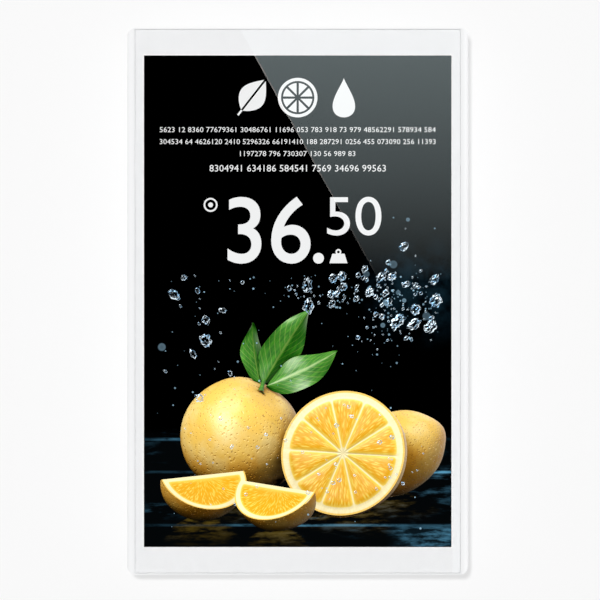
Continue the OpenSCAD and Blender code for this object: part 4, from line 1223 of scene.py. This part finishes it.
def leaf_outlines(centre, radius):
    """A leaf in two halves beside its middle rib, with a short stalk."""
    steps = 16
    lean = math.radians(52)
    gap = 0.05 * radius

    def turned(along, across):
        x = along * math.cos(lean) - across * math.sin(lean)
        z = along * math.sin(lean) + across * math.cos(lean)
        return (centre[0] + x, centre[1] + z)

    outlines = []
    for side in (-1, 1):
        spine = [turned(radius * (1.1 - 1.9 * k / steps), side * gap) for k in range(steps + 1)]
        edge = []
        for k in range(1, steps):
            bulge = 0.62 * radius * math.sin(math.pi * (k / steps) ** 0.85)
            edge.append(turned(radius * (-0.8 + 1.9 * k / steps), side * (gap + bulge)))
        outlines.append(spine + edge)
    stalk = [turned(-0.8 * radius, gap), turned(-1.12 * radius, gap), turned(-1.12 * radius, -gap)]
    return outlines + [stalk + [turned(-0.8 * radius, -gap)]]


def drop_outlines(centre, radius):
    """A falling drop."""
    steps = 40
    outline = []
    for k in range(steps):
        angle = math.tau * k / steps
        wide = 0.66 * radius * math.sin(angle) * math.sin(angle / 2) ** 1.6
        outline.append((centre[0] + wide * 1.25, centre[1] + radius * math.cos(angle)))
    return [outline]


def sign_outlines():
    """Three signs in a row above the lines: a leaf, a slice and a drop."""
    radius = bpy.context.scene.display_picture.sign_height / 2
    outlines = leaf_outlines((-SIGN_PITCH, SIGN_Z), radius)
    outlines += slice_outlines((0, SIGN_Z), radius)
    return outlines + drop_outlines((SIGN_PITCH, SIGN_Z), radius)


def figure_groups(chance, count):
    """Groups of random figures, of the lengths of words, which stand in for reading matter."""
    groups = []
    while len(" ".join(groups)) < count:
        length = chance.choice((2, 3, 3, 4, 5, 6, 7, 8))
        groups.append("".join(chance.choice("0123456789") for _ in range(length)))
    return " ".join(groups)[:count].strip()


def draw_figure_rows():
    """Four rows of small figures under the signs."""
    chance = random.Random(8)
    rows = []
    for foot, width, height, count in FIGURE_ROWS:
        text = figure_groups(chance, count)
        rows.append(numeral_mesh(text, -width / 2, width / 2, foot, foot + height, 0.0, 2))
    return place_piece("picture_lines", merged_mesh("picture_lines", rows), [shared_letter_material()])


NUMERAL_LEFT = -31 * MM
NUMERAL_TOP = 46.2 * MM
NUMERAL_WIDTH_SHARE = 1.24
NUMERAL_BOLDNESS = 0.006
SMALL_LEFT, SMALL_RIGHT = 13 * MM, 37 * MM
SMALL_SHARE = 0.58
# The point between the numerals, the coin before them and the weight after them
POINT_X, POINT_RADIUS = 9.2 * MM, 2.4 * MM
COIN = (-38.5 * MM, 42.6 * MM)
COIN_RIM, COIN_INSIDE, COIN_DOT = 3.1 * MM, 2.35 * MM, 1.1 * MM
WEIGHT_LOW, WEIGHT_HIGH = 0.2 * MM, 4.4 * MM
WEIGHT_SIDES = (14 * MM, 22 * MM, 20.7 * MM, 15.3 * MM)
KNOB_X, KNOB_RISE = 18 * MM, 0.8 * MM
KNOB_RIM, KNOB_HOLE = 1.3 * MM, 0.6 * MM


def numeral_mesh(text, left, right, low, high, weight, detail=8):
    """Numerals from the built-in font, as points and faces fitted to a box of the picture.

    weight makes the strokes bolder, and detail is the number of steps in each curve."""
    curve = bpy.data.curves.new("numeral", "FONT")
    curve.body = text
    curve.offset = weight
    curve.resolution_u = detail
    stencil = bpy.data.objects.new("numeral", curve)
    bpy.context.scene.collection.objects.link(stencil)
    depsgraph = bpy.context.evaluated_depsgraph_get()
    shape = bpy.data.meshes.new_from_object(stencil.evaluated_get(depsgraph))
    xs = [v.co.x for v in shape.vertices]
    ys = [v.co.y for v in shape.vertices]
    scale_x = (right - left) / (max(xs) - min(xs))
    scale_y = (high - low) / (max(ys) - min(ys))
    points = [
        (left + (x - min(xs)) * scale_x, LETTER_Y, low + (y - min(ys)) * scale_y) for x, y in zip(xs, ys)
    ]
    faces = [list(face.vertices) for face in shape.polygons]
    bpy.data.objects.remove(stencil)
    bpy.data.curves.remove(curve)
    bpy.data.meshes.remove(shape)
    return points, faces


def draw_numerals():
    """The large numerals, the small raised ones, the point between, a coin and a weight."""
    height = bpy.context.scene.display_picture.numeral_height
    top, low = NUMERAL_TOP, NUMERAL_TOP - height
    right = NUMERAL_LEFT + NUMERAL_WIDTH_SHARE * height
    rows = [
        numeral_mesh("36", NUMERAL_LEFT, right, low, top, NUMERAL_BOLDNESS),
        numeral_mesh("50", SMALL_LEFT, SMALL_RIGHT, top - SMALL_SHARE * height, top, 0.0),
    ]
    dot = arc_points((POINT_X, low + POINT_RADIUS), POINT_RADIUS, 0, 1, 24)[:-1]
    coin = ring_outlines(COIN, COIN_RIM, COIN_INSIDE, 28)
    coin.append(arc_points(COIN, COIN_DOT, 0, 1, 20)[:-1])
    foot, head = low + WEIGHT_LOW, low + WEIGHT_HIGH
    weight = list(zip(WEIGHT_SIDES, (foot, foot, head, head)))
    knob = ring_outlines((KNOB_X, head + KNOB_RISE), KNOB_RIM, KNOB_HOLE, 20)
    for outline in [dot, weight, *coin, *knob]:
        rows.append(([(x, LETTER_Y, z) for x, z in outline], [list(range(len(outline)))]))
    mesh = merged_mesh("picture_numerals", rows)
    return place_piece("picture_numerals", mesh, [shared_letter_material()])


def merged_mesh(name, rows):
    """One mesh of rows, each a list of points and a list of faces."""
    points, faces = [], []
    for row_points, row_faces in rows:
        faces += [[n + len(points) for n in face] for face in row_faces]
        points += row_points
    mesh = bpy.data.meshes.new(name)
    mesh.from_pydata(points, [], faces)
    return mesh


def shared_letter_material():
    """The one material of all that is lettered."""
    return bpy.data.materials.get("Picture lettering") or letter_material()


def seen_only_by_mirrors(card):
    """Shows a card in reflections and nowhere else."""
    card.visible_camera = False
    card.visible_diffuse = False
    card.visible_shadow = False
    card.visible_transmission = False
    card.visible_volume_scatter = False


def emission_material(name, strength, colour):
    """A plain light, its web and its shader."""
    material, web, output = new_material(name)
    glow = web.node("ShaderNodeEmission", {"Color": colour, "Strength": strength})
    web.feed(output.inputs["Surface"], glow.outputs[0])
    return material, web, glow


def stage_piece(name, corners, material):
    """Links a flat four-sided part of the studio."""
    mesh = bpy.data.meshes.new(name)
    mesh.from_pydata(corners, [], [(0, 1, 2, 3)])
    mesh.materials.append(material)
    piece = bpy.data.objects.new(name, mesh)
    bpy.context.scene.collection.objects.link(piece)
    return piece


# Cards in front of the display: how far off they stand, and the step between one and the next
CARD_DISTANCE = 2.4
CARD_STEP = 0.01
DARK_CARD_HALF = 1.5
# The window in the glass: its slanting edge's place at the picture's top and its slope, where it fades
# out below and how fast, and its share on the white border
GLARE_EDGE_X = -19.3 * MM
GLARE_EDGE_SLOPE = 0.554
GLARE_FADE_LOW = 9 * MM
GLARE_FALL = 0.85
GLARE_BORDER_SHARE = 0.27
GLARE_TINT = (0.83, 1.0, 1.03)
# The brighter line along the slanting edge
GLARE_RIM = 0.42 * MM
GLARE_RIM_GAIN = 1.9
GLARE_RIM_TINT = (1.0, 0.93, 0.88)


def card_point(x, z, step=0.0):
    """The point of the card plane that the camera sees mirrored at that point of the glass."""
    studio = bpy.context.scene.display_studio
    eye = eye_point()
    spread = 1 + CARD_DISTANCE / studio.distance
    return (eye.x + (x - eye.x) * spread, GLASS_LOW.y - CARD_DISTANCE + step, eye.z + (z - eye.z) * spread)


# How far the camera stands to the right of the display's middle, and above it
EYE_X, EYE_Z = 1.02 * MM, 0.55 * MM


def eye_point():
    """Where the camera stands: straight in front of the glass."""
    studio = bpy.context.scene.display_studio
    return Vector((EYE_X, GLASS_LOW.y - studio.distance, EYE_Z))


def mirror_cards():
    """A dark card all over, and a pale window whose slanting edge shows in the glass."""
    studio = bpy.context.scene.display_studio
    corners = [card_point(x, z) for x, z in square(DARK_CARD_HALF)]
    dark = emission_material("Dark card", 0.0, (0, 0, 0))[0]
    seen_only_by_mirrors(stage_piece("dark_card", corners, dark))

    def edge(z):
        return GLARE_EDGE_X + (PICTURE_HALF_H - z) * GLARE_EDGE_SLOPE

    top, side = GLASS_HIGH.z, GLASS_HIGH.x
    head, right, foot = PICTURE_HALF_H, PICTURE_HALF_W, GLARE_FADE_LOW
    upper, lower = edge(head), edge(foot)
    rim = [(upper, head), (upper + GLARE_RIM, head), (lower + GLARE_RIM, foot), (lower, foot)]
    border = studio.glare * GLARE_BORDER_SHARE
    areas = {
        "glare_picture": (studio.glare, [(upper, head), (right, head), (right, foot), (lower, foot)]),
        "glare_rim": (GLARE_RIM_GAIN * studio.glare, rim),
        "glare_top": (border, [(edge(top), top), (side, top), (side, head), (upper, head)]),
        "glare_side": (border, [(right, head), (side, head), (side, -top), (right, -top)]),
    }
    for number, (name, (strength, corners)) in enumerate(areas.items()):
        points = [card_point(x, z, CARD_STEP * (number + 1)) for x, z in corners]
        tint = GLARE_RIM_TINT if name == "glare_rim" else GLARE_TINT
        material, web, glow = emission_material(name, strength, tint)
        if name in ("glare_picture", "glare_rim"):
            height = web.parts(web.object_place())["Z"]
            low, high = points[2][2], points[1][2]
            values = {"Value": height, "From Min": low, "From Max": high, "To Min": 0.0, "To Max": 1.0}
            rise = web.node("ShaderNodeMapRange", values).outputs[0]
            faded = web.math("MULTIPLY", web.math("POWER", rise, GLARE_FALL), strength)
            web.feed(glow.inputs["Strength"], faded)
        seen_only_by_mirrors(stage_piece(name, points, material))


# Wall and floor: share of the light that the paint gives back, and the light that falls on it
WALL_PAINT, WALL_LIGHT = 0.42, 1.04
FLOOR_PAINT, FLOOR_LIGHT = 0.13, 0.55
BACKDROP_HALF = 6.0
WALL_GAP = 0.4 * MM
FLOOR_Z = -0.9


def seen_ray(web):
    """1 where the eye, a mirror or clear glass looks, and 0 for light that bounces."""
    path = web.node("ShaderNodeLightPath").outputs
    mirrored = web.math("MAXIMUM", path["Is Glossy Ray"], path["Is Transmission Ray"])
    return web.math("MAXIMUM", path["Is Camera Ray"], mirrored)


def backdrop_material(name, paint, light):
    """A pale matt board that shows a plain tone to the eye, keeps shadows and is clear from behind."""
    material, web, output = new_material(name)
    studio = bpy.context.scene.display_studio
    tone = web.math("MULTIPLY", seen_ray(web), studio.wall_tone - light * paint)
    glow = web.node("ShaderNodeEmission", {"Strength": tone})
    matt = web.node("ShaderNodeBsdfDiffuse", {"Color": (paint, paint, paint)})
    both = web.node("ShaderNodeAddShader", {0: glow.outputs[0], 1: matt.outputs[0]})
    clear = web.node("ShaderNodeBsdfTransparent")
    behind = web.node("ShaderNodeNewGeometry").outputs["Backfacing"]
    side = web.node("ShaderNodeMixShader", {0: behind, 1: both.outputs[0], 2: clear.outputs[0]})
    web.feed(output.inputs["Surface"], side.outputs[0])
    return material


def backdrop():
    """A wall close behind the display and a floor far below it."""
    wall_y = max(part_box(name)[1].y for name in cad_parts) + WALL_GAP
    wall_paint = backdrop_material("Wall paint", WALL_PAINT, WALL_LIGHT)
    floor_paint = backdrop_material("Floor paint", FLOOR_PAINT, FLOOR_LIGHT)
    wall = [(x, wall_y, z) for x, z in square(BACKDROP_HALF)]
    floor = [(x, y, FLOOR_Z) for x, y in square(BACKDROP_HALF)]
    for name, corners, material in (("wall", wall, wall_paint), ("floor", floor, floor_paint)):
        piece = stage_piece(name, corners, material)
        piece.visible_diffuse = False
        piece.visible_shadow = False


def surroundings():
    """An even white world: it lights at one level and shows the eye and mirrors the wall's tone."""
    studio = bpy.context.scene.display_studio
    world = bpy.data.worlds.new("Surroundings")
    bpy.context.scene.world = world
    world.use_nodes = True
    world.node_tree.nodes.clear()
    web = Web(world.node_tree)
    seen = seen_ray(web)
    strength = web.math("MULTIPLY_ADD", seen, studio.wall_tone - studio.ambient, studio.ambient)
    background = web.node("ShaderNodeBackground", {"Color": (1, 1, 1), "Strength": strength})
    web.feed(web.node("ShaderNodeOutputWorld").inputs["Surface"], background.outputs[0])


def area_lamp(name, place, target, size, watts):
    """A square lamp that faces a point."""
    data = bpy.data.lights.new(name, "AREA")
    data.energy = watts
    data.size = size
    lamp = bpy.data.objects.new(name, data)
    bpy.context.scene.collection.objects.link(lamp)
    lamp.location = place
    lamp.rotation_euler = (Vector(target) - Vector(place)).to_track_quat("-Z", "Y").to_euler()
    lamp.visible_glossy = False
    lamp.visible_camera = False
    return lamp


# Shares of the side lamps' and the rear lamps' watts that the dimmer one of each pair has
LEFT_SHARE = 0.58
FILL_SHARE = 0.35


def lamps():
    """A key lamp up and to the left of the camera, one at each side and two soft ones behind."""
    studio = bpy.context.scene.display_studio
    middle = (0, 0, 0)
    area_lamp("key_lamp", (-0.2, -3.0, 0.27), middle, 0.16, studio.key_watts)
    area_lamp("left_lamp", (-2.6, 0.32, 0.3), middle, 0.8, LEFT_SHARE * studio.side_watts)
    area_lamp("right_lamp", (2.6, 0.32, 0.3), middle, 0.8, studio.side_watts)
    rear = area_lamp("rear_lamp", (-1.3, 2.0, 1.5), middle, 0.7, studio.rear_watts)
    fill = area_lamp("rear_fill", (1.6, 2.0, -0.6), middle, 1.2, FILL_SHARE * studio.rear_watts)
    rear.visible_glossy = fill.visible_glossy = True


def camera():
    """The camera, level with the middle of the glass."""
    studio = bpy.context.scene.display_studio
    data = bpy.data.cameras.new("camera")
    data.sensor_width = 36
    data.lens = data.sensor_width * studio.distance / studio.view_width
    data.clip_end = 100
    eye = bpy.data.objects.new("camera", data)
    bpy.context.scene.collection.objects.link(eye)
    eye.location = eye_point()
    eye.rotation_euler = (math.pi / 2, 0, 0)
    bpy.context.scene.camera = eye
    bpy.context.scene.view_settings.view_transform = "Standard"


class DISPLAY_OT_stage(bpy.types.Operator):
    """Set the camera, lamps, cards, wall and floor"""

    bl_idname = "display.stage"
    bl_label = "Stage"

    def execute(self, context):
        camera()
        surroundings()
        lamps()
        backdrop()
        mirror_cards()
        return {"FINISHED"}


class DISPLAY_OT_glass(bpy.types.Operator):
    """Make the cover glass clear"""

    bl_idname = "display.glass"
    bl_label = "Cover glass"

    def execute(self, context):
        cover(("cover_glass",), glass_material())
        return {"FINISHED"}


class DISPLAY_OT_housing(bpy.types.Operator):
    """Finish the border print, the moulded housing and the keys"""

    bl_idname = "display.housing"
    bl_label = "Housing and keys"

    def execute(self, context):
        dress(housing_finishes())
        return {"FINISHED"}


class DISPLAY_OT_panel(bpy.types.Operator):
    """Finish the layers of the liquid crystal panel"""

    bl_idname = "display.panel"
    bl_label = "Panel layers"

    def execute(self, context):
        dress(PANEL_FINISHES)
        return {"FINISHED"}


class DISPLAY_OT_chassis(bpy.types.Operator):
    """Finish the chassis, screws, inserts, heat sink and loudspeakers"""

    bl_idname = "display.chassis"
    bl_label = "Chassis"

    def execute(self, context):
        dress(CHASSIS_FINISHES)
        return {"FINISHED"}


class DISPLAY_OT_board(bpy.types.Operator):
    """Finish the circuit boards and their parts"""

    bl_idname = "display.board"
    bl_label = "Boards"

    def execute(self, context):
        dress(BOARD_FINISHES)
        return {"FINISHED"}


class DISPLAY_OT_sockets(bpy.types.Operator):
    """Finish the sockets, switches and plungers"""

    bl_idname = "display.sockets"
    bl_label = "Sockets"

    def execute(self, context):
        dress(SOCKET_FINISHES)
        return {"FINISHED"}


class DISPLAY_OT_ground(bpy.types.Operator):
    """Draw the picture's dark ground and wet table"""

    bl_idname = "display.ground"
    bl_label = "Picture ground"

    def execute(self, context):
        draw_ground()
        return {"FINISHED"}


class DISPLAY_OT_fruit(bpy.types.Operator):
    """Draw the whole fruit, the half and the wedges"""

    bl_idname = "display.fruit"
    bl_label = "Picture fruit"

    def execute(self, context):
        skin, flesh = skin_material(), flesh_material()
        draw_form("picture_whole_fruit", still_life()["fruit"], [skin])
        draw_form("picture_half_fruit", still_life()["half"], [skin, flesh])
        draw_form("picture_wedges", still_life()["wedges"], [skin, flesh])
        return {"FINISHED"}


class DISPLAY_OT_leaves(bpy.types.Operator):
    """Draw the leaves"""

    bl_idname = "display.leaves"
    bl_label = "Picture leaves"

    def execute(self, context):
        draw_form("picture_leaves", still_life()["leaves"], [leaf_material()])
        return {"FINISHED"}


class DISPLAY_OT_water(bpy.types.Operator):
    """Draw the drops, the beads on the fruit and the spray"""

    bl_idname = "display.water"
    bl_label = "Picture water"

    def execute(self, context):
        draw_form("picture_drops", splash(), [alpha_material("Picture water", "Water bead")], False)
        draw_form("picture_spray", mist(), [alpha_material("Picture spray", "Soft disc")], False)
        return {"FINISHED"}


class DISPLAY_OT_lettering(bpy.types.Operator):
    """Draw the signs, the rows of figures and the numerals"""

    bl_idname = "display.lettering"
    bl_label = "Picture lettering"

    def execute(self, context):
        letters = [shared_letter_material()]
        place_piece("picture_signs", flat_mesh("picture_signs", sign_outlines()), letters)
        draw_figure_rows()
        draw_numerals()
        return {"FINISHED"}


class DISPLAY_PT_sidebar(bpy.types.Panel):
    """Lists the steps that dress the display"""

    bl_idname = "DISPLAY_PT_sidebar"
    bl_label = "Signage display"
    bl_space_type = "VIEW_3D"
    bl_region_type = "UI"
    bl_category = "Display"

    def draw(self, context):
        for step in STEPS:
            self.layout.operator(step.bl_idname)
        for group in SETTINGS:
            settings = getattr(context.scene, group)
            for name in settings.__annotations__:
                self.layout.prop(settings, name)


SETTINGS = {
    "display_housing": DisplayHousing,
    "display_picture": DisplayPicture,
    "display_studio": DisplayStudio,
}
STEPS = (
    DISPLAY_OT_stage,
    DISPLAY_OT_housing,
    DISPLAY_OT_glass,
    DISPLAY_OT_panel,
    DISPLAY_OT_chassis,
    DISPLAY_OT_board,
    DISPLAY_OT_sockets,
    DISPLAY_OT_ground,
    DISPLAY_OT_fruit,
    DISPLAY_OT_leaves,
    DISPLAY_OT_water,
    DISPLAY_OT_lettering,
)


def register():
    """Registers the settings, the steps and the panel."""
    for kind in (*SETTINGS.values(), *STEPS, DISPLAY_PT_sidebar):
        bpy.utils.register_class(kind)
    for name, settings in SETTINGS.items():
        setattr(bpy.types.Scene, name, PointerProperty(type=settings))


def unregister():
    """Takes away what register added."""
    for name in SETTINGS:
        delattr(bpy.types.Scene, name)
    for kind in (DISPLAY_PT_sidebar, *STEPS[::-1], *SETTINGS.values()):
        bpy.utils.unregister_class(kind)


def main():
    """Runs every step."""
    register()
    for step in STEPS:
        group, name = step.bl_idname.split(".")
        getattr(getattr(bpy.ops, group), name)()


if __name__ == "__main__":
    main()
